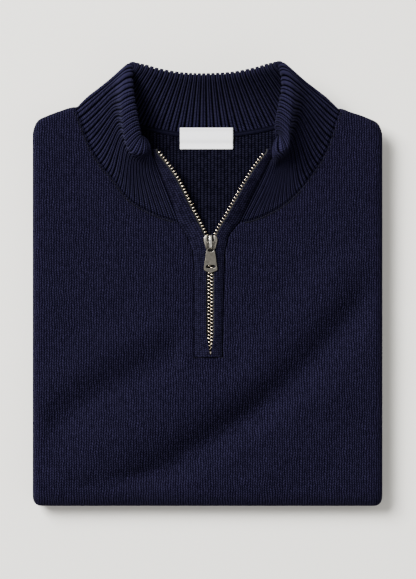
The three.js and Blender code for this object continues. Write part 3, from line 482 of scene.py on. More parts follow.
def rib_height(rib, t, roll):
    """Two wales to a rib, parted by a faint line, with a deep groove between ribs. They are pulled
    flatter towards the foot, and on the rolled rim they spread."""
    from_groove = abs(rib - math.floor(rib) - 0.5)
    body = smooth(0.02, 0.24, from_groove)
    line = math.exp(-(((0.5 - from_groove) / 0.07) ** 2))
    near_foot = smooth(0, 0.1, t) * mix(0.75, 1, smooth(0.05, 0.3, t))
    ribbed = (RIB_SWELL * body - RIB_GROOVE * (1 - body) - 0.1 * line) * near_foot
    spread_body = smooth(0.02, 0.34, from_groove)
    spread_out = 0.5 * spread_body - 0.75 * (1 - spread_body)
    return mix(ribbed, spread_out, smooth(0.6, 0.86, t) * min(1.0, roll / 2.5))


def band_half(rib, t):
    low = mix(HALF_AT_FOOT, HALF_AT_MIDDLE, smooth(0, 0.3, t))
    at_zip = 1 - smooth(0, 4.5, min(rib, RIB_COUNT - rib))
    return mix(low, HALF_AT_RIM, smooth(0.6, 1, t)) * mix(1, 0.62, at_zip * smooth(0.3, 0.9, t))


# At the two sides the rim rolls outwards into a thick soft edge, set off by a shallow trough,
# and the ribs turn to run straight across it.
FACE_SHARE, RIM_SHARE = 0.4, 0.18
RIM_ROLL = [(0, 0.6), (3, 1.4), (7, 2.6), (12, 3.8), (17, 2.8), (20, 1.2), (23, 0.0), (77, 0.0)]
ROLL_OVER = [
    (0, 3.5), (1.5, 5.0), (5, 6.2), (10, 8.4), (13.5, 8.2), (15.5, 7.0), (17, 6.0), (18.5, 5.0), (20.5, 3.2),
    (22.5, 1.2), (24.5, 0.0), (77, 0.0),
]
RIB_SPREAD = [
    (0, 0.0), (2.5, 1.6), (5, 2.4), (9, 2.6), (12, 2.4), (16, 1.8), (20, 0.7), (22.5, 0.0), (77, 0.0),
]
TURN_OF_RIBS = 1.6


def both_sides(table, place):
    """A table for the left half of the band, and the same mirrored."""
    return max(0.0, along(table, place)), max(0.0, along(table, RIB_COUNT - place))


def roll_out(place):
    return sum(both_sides(RIM_ROLL, place))


def turned_rib(rib, t):
    """Where a rib lies on the band: it slants away from the zip and turns at the rim."""
    left, right = both_sides(RIB_SPREAD, rib)
    turn_left = smooth(1, 5, rib) * (1 - smooth(15, 22, rib))
    turn_right = smooth(1, 5, RIB_COUNT - rib) * (1 - smooth(15, 22, RIB_COUNT - rib))
    turned = TURN_OF_RIBS * (turn_right - turn_left) * smooth(0.6, 0.98, t)
    return rib + (left - right) * smooth(0.0, 0.9, t) + turned


def band_place(u, v):
    rib = round((u + 1) / 2 * RIB_COUNT, 5)
    s = (v + 1) / 2
    if s <= FACE_SHARE or s >= FACE_SHARE + RIM_SHARE:
        inner = s > FACE_SHARE
        t = (1 - (s - FACE_SHARE - RIM_SHARE) / (1 - FACE_SHARE - RIM_SHARE)) if inner else s / FACE_SHARE
        t = min(max(t, 0), 1)
        place = turned_rib(rib, t)
        centre, out, _ = band_frame(place, t)
        roll = roll_out(place)
        half = band_half(place, t) + rib_height(rib, t, roll)
        if inner:
            return centre - out * half
        trough = 0.2 * roll * math.exp(-(((t - 0.66) / 0.1) ** 2))
        return centre + out * (half + roll * smooth(0.66, 0.96, t) - trough)
    turn = math.pi * (s - FACE_SHARE) / RIM_SHARE
    place = turned_rib(rib, 1)
    centre, out, rise = band_frame(place, 1)
    roll = roll_out(place) / 2
    radius = band_half(place, 1) + rib_height(rib, 1, roll * 2)
    over = Vector((rise.x, rise.y, -0.1)).normalized() * sum(both_sides(ROLL_OVER, place))
    return centre + out * (roll + (radius + roll) * math.cos(turn)) + (rise * radius + over) * math.sin(turn)


# The height of the map that the band's knit is drawn on, from the foot round to the foot inside
BAND_LAY = 170.0
# The same yarn in rib: rounded ribs that catch the light, parted by grooves that stay dark
rib_knit = knit_finish(
    "rib_knit", "#000001", "#211f34", wale=RIB_WALE, course=2.0, relief=0.6, uneven=0.4,
    rib=2 * RIB_WALE, rim=FACE_SHARE * BAND_LAY)
collar = laid_cloth(
    "collar_band", RIB_COUNT * 12, 48, band_place,
    lambda u, v: ((u + 1) / 2 * RIB_COUNT * 2 * RIB_WALE, (v + 1) / 2 * BAND_LAY), rib_knit)
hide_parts("collar")


# Linking seam: a chain of small loops, of the same matt yarn as the collar, joins the collar's foot
# to the front on both sides. Each loop is a small bead laid along the seam.
STITCHES_PER_RIB = 3.4
SEAM_Z = 28.15
SEAM_OUT = 1.9


def stitch_row(name, places, size, finish):
    """A row of small loops, each laid along the line that it is sewn on."""
    row = bmesh.new()
    for i, place in enumerate(places):
        run = (places[min(i + 1, len(places) - 1)] - places[max(i - 1, 0)]).normalized()
        side = Vector((0, 0, 1)).cross(run).normalized()
        loop = bmesh.ops.create_uvsphere(row, u_segments=6, v_segments=4, radius=0.5)["verts"]
        for vert in loop:
            x, y, z = vert.co
            # Each loop leans a little across the line
            lean = x * size[0] + y * 0.3
            vert.co = to_frame(
                place + run * lean + side * (y * size[1]) + Vector((0, 0, z * size[2])))
    return finished(mesh_of(row, name), name, finish)


# Matt and a little darker than the knit, so that the seam reads as a fine dark chain
seam_yarn, _, _ = speckled_finish(
    "seam_yarn", "#1b1a2a", 0.85, 900.0, "#010103", "#10101a", Sheen_Weight=0.05, Specular_IOR_Level=0.0)
for seam_name, from_rib, to_rib in [
    ("left", 1, LEFT_FOLD_RIB - 0.5),
    ("right", RIGHT_FOLD_RIB + 0.5, RIB_COUNT - 1),
]:
    seam_places = []
    for i in range(round((to_rib - from_rib) * STITCHES_PER_RIB)):
        centre, _, rise = band_frame(from_rib + i / STITCHES_PER_RIB, 0)
        flat = Vector((rise.x, rise.y, 0)).normalized()
        seam_places.append(Vector((centre.x, centre.y, SEAM_Z)) - flat * SEAM_OUT)
    linking = stitch_row(f"linking_seam_{seam_name}", seam_places, (1.5, 1.3, 0.9), seam_yarn)


# Back panel: plain knit, seen from its inside through the open neck, where its wales look coarser.
# It is linked to the foot of the collar behind the neck.
def neck_line(from_rib, to_rib, gap, at_fold=0.0):
    """The seam line in plan, a little outside the collar's foot."""
    line = []
    steps = math.ceil(abs(to_rib - from_rib) * 2)
    for i in range(steps + 1):
        rib = mix(from_rib, to_rib, i / steps)
        centre, _, rise = band_frame(rib, 0)
        flat = Vector((rise.x, rise.y)).normalized()
        fold = sum(math.exp(-(((rib - at) / 1.6) ** 2)) for at in (LEFT_FOLD_RIB, RIGHT_FOLD_RIB))
        away = gap + at_fold * min(1, fold)
        line.append((centre.x - flat.x * away, centre.y - flat.y * away))
    return line


def cut_out(cloth, outline, cell):
    """Cuts an outline out of a flat grid: points near its edge move onto it, and faces inside go."""
    edges = list(zip(outline, outline[1:] + outline[:1]))
    low_x, high_x = min(p[0] for p in outline) - cell, max(p[0] for p in outline) + cell
    low_y, high_y = min(p[1] for p in outline) - cell, max(p[1] for p in outline) + cell
    state = {}
    for vert in cloth.verts:
        x, y = vert.co.x, vert.co.y
        if not (low_x < x < high_x and low_y < y < high_y):
            state[vert] = "outside"
            continue
        inside = False
        nearest, nearest_point = 1e9, None
        for (ax, ay), (bx, by) in edges:
            if (ay > y) != (by > y) and x < (bx - ax) * (y - ay) / (by - ay) + ax:
                inside = not inside
            dx, dy = bx - ax, by - ay
            t = min(1, max(0, ((x - ax) * dx + (y - ay) * dy) / (dx * dx + dy * dy + 1e-12)))
            px, py = ax + dx * t, ay + dy * t
            away = math.hypot(x - px, y - py)
            if away < nearest:
                nearest, nearest_point = away, (px, py)
        state[vert] = "inside" if inside else "outside"
        if nearest < cell / 2:
            state[vert] = "edge"
            vert.co.x, vert.co.y = nearest_point
        vert.tag = False
        if state[vert] == "inside":
            state[vert] = ("inside", nearest_point)
    gone = []
    for face in cloth.faces:
        if not any(state[v] == "outside" for v in face.verts):
            gone.append(face)
            continue
        for vert in face.verts:
            if isinstance(state[vert], tuple):
                vert.co.x, vert.co.y = state[vert][1]
                state[vert] = "edge"
    bmesh.ops.delete(cloth, geom=gone, context="FACES")
    loose = [v for v in cloth.verts if not v.link_faces]
    bmesh.ops.delete(cloth, geom=loose, context="VERTS")


def panel(name, depth, outline, cell, along_stops, finish):
    """A panel of the folded body: flat pattern in mm, cut out, then laid along its rolls and folds."""
    half = SIDE_CENTRE_X + SIDE_ROLL * SIDE_ROLL_END
    low, high = along_stops
    cloth = bmesh.new()
    bmesh.ops.create_grid(
        cloth, x_segments=round(2 * half / cell), y_segments=round((high - low) / cell), size=1)
    bmesh.ops.scale(cloth, vec=(half, (high - low) / 2, 1), verts=cloth.verts)
    bmesh.ops.translate(cloth, vec=(0, (low + high) / 2, 0), verts=cloth.verts)
    cut_out(cloth, outline, cell)
    knit_lay = cloth.loops.layers.uv.new("lay")
    for face in cloth.faces:
        for corner in face.loops:
            corner[knit_lay].uv = corner.vert.co.xy
    for vert in cloth.verts:
        x, roll, side = across_place(vert.co.x)
        roll = min(roll, SIDE_ROLL_END)
        outer_x = min(HALF_WIDTH, max(-HALF_WIDTH, x + side * SIDE_ROLL * math.sin(roll)))
        start = along(SHOULDER, outer_x) - SHOULDER_ROLL
        over = vert.co.y - start
        if over > 0:
            shoulder = min(math.pi / 2, over / SHOULDER_ROLL)
            vert.co = to_frame(cloth_point(depth, x, roll, side, shoulder, 0, 0))
        elif vert.co.y >= BOTTOM_CENTRE_Y:
            flat = (start - vert.co.y) / (start - BOTTOM_CENTRE_Y)
            vert.co = to_frame(cloth_point(depth, x, roll, side, 0, flat, 0))
        else:
            turn = (BOTTOM_CENTRE_Y - vert.co.y) / FOLD_Z
            vert.co = to_frame(cloth_point(depth, x, roll, side, 0, 1, turn))
    bmesh.ops.remove_doubles(cloth, verts=cloth.verts, dist=0.00025)
    bmesh.ops.dissolve_degenerate(cloth, dist=0.0002, edges=cloth.edges)
    return finished(mesh_of(cloth, name), name, finish)


def give_thickness(piece, thickness):
    wall = piece.modifiers.new("wall", "SOLIDIFY")
    wall.thickness = thickness * MM
    wall.offset = -1


# The wrong side of the knit, in the collar's shade: wider wales that look coarser, and a darker colour that is
# painted shade
inside_knit_painted_shade = knit_finish(
    "plain_knit_inside_painted_shade", "#000001", "#171624", wale=3.05, course=2.0, uneven=0.8, gap=0.1)
BACK_THICKNESS = 2.4
back_neck = neck_line(LEFT_FOLD_RIB, RIGHT_FOLD_RIB, 0.4, 1.8)
back_panel = panel(
    "back_inside", BACK_DEPTH, [(back_neck[-1][0], 200), (back_neck[0][0], 200)] + back_neck, 3.4,
    (-92.0, 160.0), inside_knit_painted_shade)
give_thickness(back_panel, BACK_THICKNESS)
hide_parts("back_panel")


# Front panel: plain knit, slit at the middle for the zip and linked to the collar's foot.
# It rolls over the shoulders, round both sides, and under at the bottom fold.
def height_rows(rows, y):
    """Place and height on a line of points that runs down the cloth."""
    i = 0
    while i < len(rows) - 2 and y < rows[i + 1][1]:
        i += 1
    t = min(1.0, max(0.0, (y - rows[i][1]) / (rows[i + 1][1] - rows[i][1])))
    return mix(rows[i][0], rows[i + 1][0], t), mix(rows[i][2], rows[i + 1][2], t)


PLACKET_LEFT = [(-18.4, 43.4, 27.2), (-13, 30, 27.2), (-11.4, 12, 27.2), (-11.2, -65.9, 27.2)]
PLACKET_RIGHT = [(19.3, 43.4, 27.2), (15.7, 29.1, 27.2), (14.8, 2.2, 27.2), (13.4, -65.9, 27.2)]
PLACKET_CUT_END = -66.3
SEAM_GAP = 0.4
left_edge = [tuple(band_centre(0, i / 10)) for i in range(10, -1, -1)] + PLACKET_LEFT
right_edge = [tuple(band_centre(RIB_COUNT, i / 10)) for i in range(10, -1, -1)] + PLACKET_RIGHT

front_outline = neck_line(LEFT_FOLD_RIB, 0, SEAM_GAP)
front_outline = [(front_outline[0][0], 200)] + front_outline
front_outline += [(x - SEAM_GAP, y) for x, y, _ in left_edge if -60 < y < 54]
front_outline += [
    (PLACKET_LEFT[-1][0] - SEAM_GAP, PLACKET_CUT_END), (PLACKET_RIGHT[-1][0] + SEAM_GAP, PLACKET_CUT_END)]
front_outline += [(x + SEAM_GAP, y) for x, y, _ in reversed(right_edge) if -60 < y < 54]
right_neck = neck_line(RIB_COUNT, RIGHT_FOLD_RIB, SEAM_GAP)
front_outline += right_neck + [(right_neck[-1][0], 200)]
front_low = BOTTOM_CENTRE_Y - FOLD_Z * math.pi * 0.84
front_panel = panel("front_knit", 0, front_outline, 2.6, (front_low, 169.0), plain_knit)
give_thickness(front_panel, KNIT_THICKNESS)
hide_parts("front_panel")


# Plackets: a narrow folded band of plain knit on each side of the zip, from the collar's rim down
# to a square end below the zip. Its outer edge is stitched to the front and to the collar.
ZIP_LEFT = [
    (-43.6, 117.3, 45.5), (-31.8, 102.5, 41.5), (-25.9, 93.4, 39.5), (-19.9, 81.7, 37), (-14.6, 70.9, 34.4),
    (-9.1, 60, 31.6), (-3.8, 49.8, 29), (0.9, 38.9, 27.8), (1.35, 30, 27.8), (1.35, -60.5, 27.8),
]
ZIP_RIGHT = [
    (51.4, 117.3, 45.5), (40.2, 102.5, 41.5), (34.4, 93.2, 39.5), (27.7, 81.7, 37), (21.9, 71, 34.4),
    (15.7, 60, 31.6), (9.4, 49.7, 29), (4.5, 38.9, 27.8), (4.05, 30, 27.8), (4.05, -60.5, 27.8),
]
TOOTH_HALF = 1.1
TAPE_WIDTH = 3.1
PLACKET_HALF_HEIGHT = 1.8
PLACKET_TOP, PLACKET_BOTTOM = 119.5, -65.9


def slant(rows, y):
    a, b = height_rows(rows, y + 3)[0], height_rows(rows, y - 3)[0]
    return math.hypot((a - b) / 6, 1)


def placket_place(edge, chain, outward, lean):
    def place(u, v):
        y = mix(PLACKET_BOTTOM, PLACKET_TOP, (v + 1) / 2)
        outer_x, outer_z = height_rows(edge, y)
        chain_x, chain_z = height_rows(chain, max(y, ZIP_LEFT[-1][1]))
        a = outer_x - outward * SEAM_GAP * slant(edge, y) * (1 if outward > 0 else -0.5)
        # The folded edge lies over the tape, close to the teeth, and the two close over the stop
        inner = mix(-1.25, 1.9 if outward > 0 else 2.3, min(1.0, max(0.0, (y + 64.3) / 19)))
        b = chain_x + outward * inner * slant(chain, y)
        turn = math.pi * u
        # A flattened round section, drawn in a little at the stitched edge
        tall = flattened(math.sin(turn), 0.6)
        side = (flattened(math.cos(turn), 0.35) + 1) / 2
        end = math.sqrt(max(0.0, 1 - smooth(0.93, 1.0, (v + 1) / 2) ** 2 * 0.75))
        stitched = 1 - (0.5 if outward > 0 else 0.2) * math.exp(-(((side - 0.05) / 0.09) ** 2))
        over_tape = smooth(0.45, 0.85, side)
        half_height = mix(mix(1.0, PLACKET_HALF_HEIGHT, smooth(0, 0.5, side)), 0.75, over_tape) * end
        rest = mix(outer_z, chain_z, side) + over_tape * mix(1.6, 0.95, smooth(-50, -20, y))
        rest -= lean * (1 - side)
        return Vector((mix(a, b, side), y, rest + tall * half_height * (stitched if tall > 0 else 1)))
    return place


# The yarn of the body knitted tighter, so the bands read smoother and a little darker beside the zip
placket_knit = knit_finish(
    "placket_knit", "#000001", "#1c1a2c", wale=2.2, course=1.9, relief=0.5, uneven=0.8, gap=0.35)
for side_name, edge, chain, outward, lean in [
    ("left", left_edge, ZIP_LEFT, -1, 0.1),
    ("right", right_edge, ZIP_RIGHT, 1, 0.9),
]:
    band_piece = laid_cloth(
        f"placket_{side_name}_band", 36, 120, placket_place(edge, chain, outward, lean),
        lambda u, v: (flattened(math.cos(math.pi * u), 0.35) * 6.5, v * 92.0), placket_knit)
    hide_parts(f"placket_{side_name}")


# The plackets' square end is sewn down through the front with a line of short stitches
end_places = [Vector((x, PLACKET_BOTTOM - 0.3 + 0.5 * math.sin(x * 2.1), 28.1)) for x in range(-12, 15, 2)]
end_stitches = stitch_row("placket_end_stitches", end_places, (1.4, 0.8, 0.9), seam_yarn)


# Zip: a near-black woven tape on each side, and a row of pale champagne metal teeth clamped to its
# edge. Below the slider the two rows mesh, and a metal stop closes them at the bottom.
woven_tape, tape_shader = new_finish("woven_zip_tape", "#08080c", 0.85, Sheen_Weight=0.1)
tape_lay = node(woven_tape.node_tree, "ShaderNodeTexCoord").outputs["Object"]
# Twill of 0.5 mm threads across the tape
twill = node(woven_tape.node_tree, "ShaderNodeTexWave", [
    ("Vector", tape_lay), ("Scale", 1 / (0.5 * MM) / math.tau), ("Distortion", 0.4)],
    bands_direction="DIAGONAL")
twill_bump = node(woven_tape.node_tree, "ShaderNodeBump", [
    ("Height", twill.outputs["Fac"]), ("Distance", 0.15 * MM), ("Strength", 0.8)])
woven_tape.node_tree.links.new(twill_bump.outputs[0], tape_shader.inputs["Normal"])

# Polished and pale gold, worn unevenly, so that each tooth sparkles apart from its neighbours
tooth_metal, _, _ = speckled_finish(
    "champagne_brass", "#cdbfa8", 0.24, 420.0, "#b09a78", "#ece2d0", Metallic=1.0)

CHAIN_Z = 27.8
TOOTH_PITCH = 3.1
TOOTH_SIZE = (2.5, 1.15, 2.3)
FIRST_TOOTH, LAST_TOOTH = 0.8, 1.2
STOP_SIZE = (4.6, 2.6, 2.4)
STOP_Y = -62.2


def chain_path(rows, y_step=0.25):
    """Points down a chain, with the length run from its top."""
    points = []
    y = rows[0][1]
    while y > rows[-1][1]:
        x, z = height_rows(rows, y)
        points.append(Vector((x, y, z)))
        y -= y_step
    lengths = [0.0]
    for a, b in zip(points, points[1:]):
        lengths.append(lengths[-1] + (b - a).length)
    return points, lengths


def tape_place(rows, outward):
    def place(u, v):
        y = mix(PLACKET_BOTTOM, PLACKET_TOP, (v + 1) / 2)
        x, z = height_rows(rows, y)
        k = slant(rows, y)
        turn = math.pi * u
        across = TOOTH_HALF - 0.3 + (TAPE_WIDTH + 0.7) * (flattened(math.cos(turn), 0.4) + 1) / 2
        lift = 0.3 * flattened(math.sin(turn), 0.6) - 0.3
        return Vector((x + outward * across * k, y, z + lift))
    return place


for side_name, rows, outward in [("left", ZIP_LEFT, -1), ("right", ZIP_RIGHT, 1)]:
    tape = laid_cloth(
        f"zip_tape_{side_name}_woven", 12, 90, tape_place(rows, outward), lambda u, v: (u, v), woven_tape)
    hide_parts(f"zip_tape_{side_name}")

    teeth = bmesh.new()
    points, lengths = chain_path(rows)
    at = FIRST_TOOTH
    if outward > 0:
        # The rows mesh below the slider, so the right row starts where its teeth fall between
        left_length = chain_path(ZIP_LEFT)[1][-1]
        at = FIRST_TOOTH + (lengths[-1] - left_length + TOOTH_PITCH / 2) % TOOTH_PITCH
    i = 0
    while at < lengths[-1] - LAST_TOOTH:
        while i < len(lengths) - 2 and lengths[i + 1] < at:
            i += 1
        run = (points[i + 1] - points[i]).normalized()
        place = points[i] + run * (at - lengths[i])
        across = Vector((0, 0, 1)).cross(run).normalized() * -outward
        up = run.cross(across).normalized()
        if up.z < 0:
            up = -up
        tooth = bmesh.ops.create_cube(teeth, size=1)["verts"]
        bmesh.ops.scale(teeth, vec=TOOTH_SIZE, verts=tooth)
        for vert in tooth:
            # The head, towards the other row, is a little narrower than the clamped foot
            taper = mix(1.06, 0.9, vert.co.x / TOOTH_SIZE[0] + 0.5)
            local = Vector((vert.co.x + 0.2, vert.co.y * taper, vert.co.z * taper))
            vert.co = to_frame(place + across * local.x + run * local.y + up * (local.z + 0.1))
        at += TOOTH_PITCH
    bmesh.ops.bevel(
        teeth, geom=list(teeth.edges), offset=0.3 * MM, affect="EDGES", segments=1, profile=0.5, material=-1)
    bmesh.ops.recalc_face_normals(teeth, faces=teeth.faces)
    teeth_row = finished(mesh_of(teeth, f"teeth_{side_name}"), f"teeth_{side_name}_row", tooth_metal)
    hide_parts(f"zip_teeth_{side_name}")

stop = bmesh.new()
bmesh.ops.create_cube(stop, size=1)
bmesh.ops.scale(stop, vec=[size * MM for size in STOP_SIZE], verts=stop.verts)
bmesh.ops.bevel(
    stop, geom=list(stop.edges), offset=0.55 * MM, affect="EDGES", segments=3, profile=0.5, material=-1)
bmesh.ops.translate(stop, vec=(CHAIN_X * MM, (STOP_Y + SHIFT_Y) * MM, CHAIN_Z * MM), verts=stop.verts)
stop_piece = finished(mesh_of(stop, "bottom_stop"), "bottom_stop_clip", tooth_metal)
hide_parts("bottom_stop")


# Slider: die-cast in zinc alloy and plated antique nickel, smooth and darker in its recesses, partly oxide and
# partly painted shade.
# Two plates run on the chain, and a low arch on the upper one holds the pull tab's bar.
# A soft grey sheen, darkened in patches, that reads as old silver beside the pale teeth
nickel, nickel_shader, nickel_wear = speckled_finish(
    "antique_nickel", "#a8a39c", 0.3, 300.0, "#5e5a53", "#9c978e", detail=4.0, Metallic=1.0)
nickel_bump = node(nickel.node_tree, "ShaderNodeBump", [
    ("Height", nickel_wear.outputs["Fac"]), ("Distance", 0.05 * MM), ("Strength", 0.5)])
nickel.node_tree.links.new(nickel_bump.outputs[0], nickel_shader.inputs["Normal"])

CHAIN_THICKNESS = 3.1
PLATE_THICKNESS = 1.2
SLIDER_Y = 37.2
SLIDER_TOP_Z = CHAIN_Z + CHAIN_THICKNESS / 2 + PLATE_THICKNESS
SLIDER_LOW_Z = CHAIN_Z - CHAIN_THICKNESS / 2 - PLATE_THICKNESS
PIVOT_Y, PIVOT_Z = 36.9, SLIDER_TOP_Z + 1.55
SLIDER_OUTLINE = [
    (-4.3, -6.3), (4.3, -6.3), (4.9, -3.6), (5.7, -1), (6.2, 1.6), (6.1, 3.6), (5.2, 5.4), (3.8, 6.3),
    (-3.8, 6.3), (-5.2, 5.4), (-6.1, 3.6), (-6.2, 1.6), (-5.7, -1), (-4.9, -3.6),
]


def cast_plate(shape, outline, low, high, round_off):
    """One flat cast form, with its rim rounded off."""
    verts = [shape.verts.new((x * MM, y * MM, low * MM)) for x, y in outline]
    face = shape.faces.new(verts)
    raised = bmesh.ops.extrude_face_region(shape, geom=[face])["geom"]
    top = [g for g in raised if isinstance(g, bmesh.types.BMVert)]
    bmesh.ops.translate(shape, vec=(0, 0, (high - low) * MM), verts=top)
    own = set(verts) | set(top)
    rim = [e for e in shape.edges if set(e.verts) <= own]
    bmesh.ops.bevel(
        shape, geom=rim, offset=round_off * MM, affect="EDGES", segments=3, profile=0.5, material=-1,
        clamp_overlap=True)


def cast_piece(shape, mesh_name, name, finish):
    """Cast forms brought to their place on the chain, as one piece."""
    bmesh.ops.translate(shape, vec=(CHAIN_X * MM, (SLIDER_Y + SHIFT_Y) * MM, 0), verts=shape.verts)
    bmesh.ops.recalc_face_normals(shape, faces=shape.faces)
    return finished(mesh_of(shape, mesh_name), name, finish)


slider = bmesh.new()
CHANNEL_HALF = 2.8
for wing in (-1, 1):
    outline = [(CHANNEL_HALF, -6.2)] + SLIDER_OUTLINE[1:8] + [(CHANNEL_HALF, 6.3)]
    if wing < 0:
        outline = [(-x, y) for x, y in reversed(outline)]
    cast_plate(slider, outline, SLIDER_TOP_Z - PLATE_THICKNESS, SLIDER_TOP_Z, 0.45)
cast_plate(slider, SLIDER_OUTLINE, SLIDER_LOW_Z, SLIDER_LOW_Z + PLATE_THICKNESS, 0.35)
cast_plate(slider, [(0, 1.3), (1.7, 6.1), (-1.7, 6.1)], SLIDER_LOW_Z + 1.0, SLIDER_TOP_Z - 1.0, 0.1)
slider_piece = cast_piece(slider, "slider", "slider_plates", nickel)

# The channel under the arch is near black: partly the antique finish's oxide in that recess, partly painted
# shade, most of all at its nose below the arch
oxide_and_painted_shade, _, _ = speckled_finish("black_nickel_oxide_and_painted_shade", "#0c0a09", 0.8, 500.0, "#050404", "#141210")
channel = bmesh.new()
cast_plate(
    channel, [(-2.9, -6.0), (-2.4, -8.0), (2.4, -8.0), (2.9, -6.0), (3, 6.1), (-3, 6.1)],
    SLIDER_TOP_Z - 1.3, SLIDER_TOP_Z - 0.85, 0.1)
channel_piece = cast_piece(channel, "channel", "slider_channel", oxide_and_painted_shade)
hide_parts("slider_body")

ARCH = [
    (-6.2, -0.6), (-6.2, 1.4), (-5.7, 2.9), (-4.2, 3.7), (-1.8, 3.95), (1.8, 3.95), (4.2, 3.7), (5.9, 2.9),
    (6.6, 1.4), (6.7, -0.6), (5.2, -0.6), (5.0, 1.0), (4.2, 1.9), (2.4, 2.5), (-2.4, 2.5), (-4.2, 1.9),
    (-4.8, 1.0), (-4.9, -0.6),
]
arch = bmesh.new()
cast_plate(arch, ARCH, -1.3, 1.3, 0.6)
for vert in arch.verts:
    x, y, z = vert.co
    vert.co = (z + CHAIN_X * MM, x + (SLIDER_Y + SHIFT_Y) * MM, y + (SLIDER_TOP_Z + 0.02) * MM)
bmesh.ops.recalc_face_normals(arch, faces=arch.faces)
# The whole arch is a paler nickel than the plates, a painted highlight
nickel_painted_highlight, _, _ = speckled_finish(
    "nickel_painted_highlight", "#d6d2ca", 0.24, 350.0, "#bdb8ae", "#ece8e0", Metallic=1.0)
arch_piece = finished(mesh_of(arch, "arch"), "slider_arch", nickel_painted_highlight)
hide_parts("slider_bridge")


# Pull tab: the same casting, a flat tongue with an eye round the arch and a slot near its tip.
# Its bar turns beneath the arch.
TAB_OUTLINE = [
    (-3.0, 0.75), (3.0, 0.75), (3.3, 0), (3.35, -6.2), (4.0, -8.2), (5.6, -19.8), (6.1, -23.5), (6.0, -24.9),
    (4.9, -25.8), (0, -27.7), (-4.9, -25.8), (-6.0, -24.9), (-6.1, -23.5), (-5.6, -19.8), (-4.0, -8.2),
    (-3.35, -6.2), (-3.3, 0),
]
TAB_EYE = [(-2.7, -0.75), (-2.7, -7.4), (-1.7, -8.2), (0, -8.5), (1.7, -8.2), (2.7, -7.4), (2.7, -0.75)]
TAB_SLOT = [
    (2.8, -20.5), (3.8, -20.9), (4.3, -21.9), (3.8, -22.9), (2.8, -23.3),
    (-2.8, -23.3), (-3.8, -22.9), (-4.3, -21.9), (-3.8, -20.9), (-2.8, -20.5),
]
TAB_HALF_THICKNESS = 0.65
TAB_ROUND = 0.45
TAB_TILT = math.radians(4.5)
tab_curve = bpy.data.curves.new("tab_outline", "CURVE")
tab_curve.dimensions = "2D"
tab_curve.fill_mode = "BOTH"
tab_curve.extrude = TAB_HALF_THICKNESS - TAB_ROUND
tab_curve.bevel_depth = TAB_ROUND
tab_curve.bevel_resolution = 2
tab_curve.offset = -TAB_ROUND
for outline in (TAB_OUTLINE, TAB_EYE, TAB_SLOT):
    spline = tab_curve.splines.new("POLY")
    spline.points.add(len(outline) - 1)
    for point, (x, y) in zip(spline.points, outline):
        point.co = (x, y, 0, 1)
    spline.use_cyclic_u = True
flat_tab = bpy.data.objects.new("tab_outline", tab_curve)
bpy.context.scene.collection.objects.link(flat_tab)
tab_mesh = bpy.data.meshes.new_from_object(flat_tab.evaluated_get(bpy.context.evaluated_depsgraph_get()))
bpy.data.objects.remove(flat_tab)
tab_shape = bmesh.new()
tab_shape.from_mesh(tab_mesh)
bmesh.ops.remove_doubles(tab_shape, verts=tab_shape.verts, dist=0.001)
for vert in tab_shape.verts:
    x, y, z = vert.co
    turned = Vector((
        x, y * math.cos(TAB_TILT) - z * math.sin(TAB_TILT), y * math.sin(TAB_TILT) + z * math.cos(TAB_TILT)))
    vert.co = to_frame(turned + Vector((CHAIN_X, PIVOT_Y, PIVOT_Z)))
bmesh.ops.recalc_face_normals(tab_shape, faces=tab_shape.faces)
tab_shape.to_mesh(tab_mesh)
tab_shape.free()
tab_mesh.materials.clear()
pull_tab = finished(tab_mesh, "pull_tab_tongue", nickel, body="tab")
tab_mesh.polygons.foreach_set("use_smooth", [False] * len(tab_mesh.polygons))
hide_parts("pull_tab")


# Neck tape and label: a narrow navy tape covers the back neck seam, stitched along both edges,
# and a bare white satin label is tacked over it by its corners.
TAPE_FROM_RIB, TAPE_TO_RIB = 27.5, 49.5


def neck_tape_place(u, v):
    rib = mix(TAPE_FROM_RIB, TAPE_TO_RIB, (v + 1) / 2)
    centre, _, rise = band_frame(rib, 0)
    flat = Vector((rise.x, rise.y)).normalized()
    turn = math.pi * u
    wide, tall = flattened(math.cos(turn), 0.4), flattened(math.sin(turn), 0.6)
    across = wide * 2 - 0.6
    # Both edges are drawn in where they are stitched
    groove = 0.3 * sum(math.exp(-(((wide - at) / 0.16) ** 2)) for at in (0.62, -0.62)) if tall > 0 else 0
    return Vector((
        centre.x + flat.x * across, centre.y + flat.y * across,
        25.9 + 0.55 * (wide + 1) / 2 + (0.42 - groove) * tall))


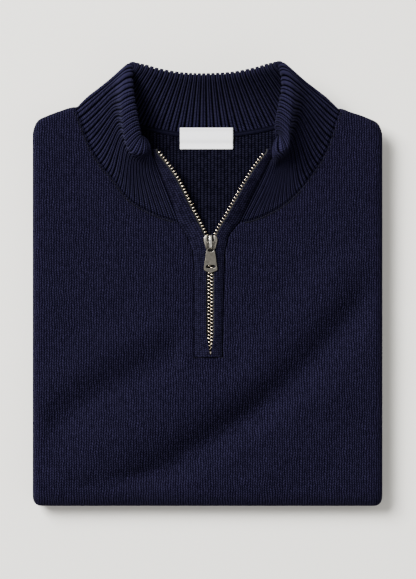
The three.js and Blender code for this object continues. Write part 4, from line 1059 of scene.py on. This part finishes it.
# A fine close grain, smoother than the knit round it
tape_knit = knit_finish(
    "neck_tape_twill", "#030308", "#131220", wale=1.0, course=1.0, relief=0.2, uneven=0.3)
neck_tape = laid_cloth(
    "neck_tape_strip", 24, 90, neck_tape_place, lambda u, v: (u * 5.0, v * 80.0), tape_knit)
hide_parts("neck_tape")

LABEL_LEFT, LABEL_RIGHT = -24.6, 22.8
LABEL_THICKNESS = 0.5
LABEL_LINE = [(120.3, 25.2), (125.5, 25.4), (128.6, 26.5), (133, 27.1), (136.4, 27.5), (139.3, 28.4)]
satin, satin_shader = new_finish("woven_satin", "#fcfcff", 0.42, Sheen_Weight=0.5)
satin_lay = node(satin.node_tree, "ShaderNodeUVMap", uv_map="lay").outputs[0]
# Satin of 0.3 mm threads across the label
satin_thread = node(satin.node_tree, "ShaderNodeTexWave", [
    ("Vector", satin_lay), ("Scale", 1 / 0.3 / math.tau), ("Distortion", 0.6)], bands_direction="Y")
satin_bump = node(satin.node_tree, "ShaderNodeBump", [
    ("Height", satin_thread.outputs["Fac"]), ("Distance", 0.06 * MM), ("Strength", 0.5)])
satin.node_tree.links.new(satin_bump.outputs[0], satin_shader.inputs["Normal"])

# Pale thread a shade bluer than the satin, so that the four tacks just show
tack_thread, _, _ = speckled_finish("polyester_thread", "#c9cbe0", 0.5, 2000.0, "#b4b7d2", "#dfe0ee")


def label_place(u, v):
    y = mix(LABEL_LINE[0][0], LABEL_LINE[-1][0], (v + 1) / 2)
    x = mix(LABEL_LEFT, LABEL_RIGHT, (u + 1) / 2)
    curl = 0.25 * (1 - smooth(0, 0.12, 1 - abs(v))) * (1 - abs(u) ** 6)
    return Vector((x, y, along(LABEL_LINE, y) + 0.6 + curl))


label = laid_cloth("label_satin", 40, 20, label_place, lambda u, v: (u * 24.0, v * 10.0), satin)
give_thickness(label, LABEL_THICKNESS)
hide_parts("label")
for tack_number, (across, up) in enumerate([(-0.95, -0.86), (0.95, -0.86), (-0.95, 0.86), (0.95, 0.86)]):
    tack_places = [label_place(across, up + i * 0.09) + Vector((0, 0, 0.15)) for i in (-1, 0, 1)]
    tack = stitch_row(f"label_tack_{tack_number + 1}", tack_places, (0.5, 1.9, 0.5), tack_thread)
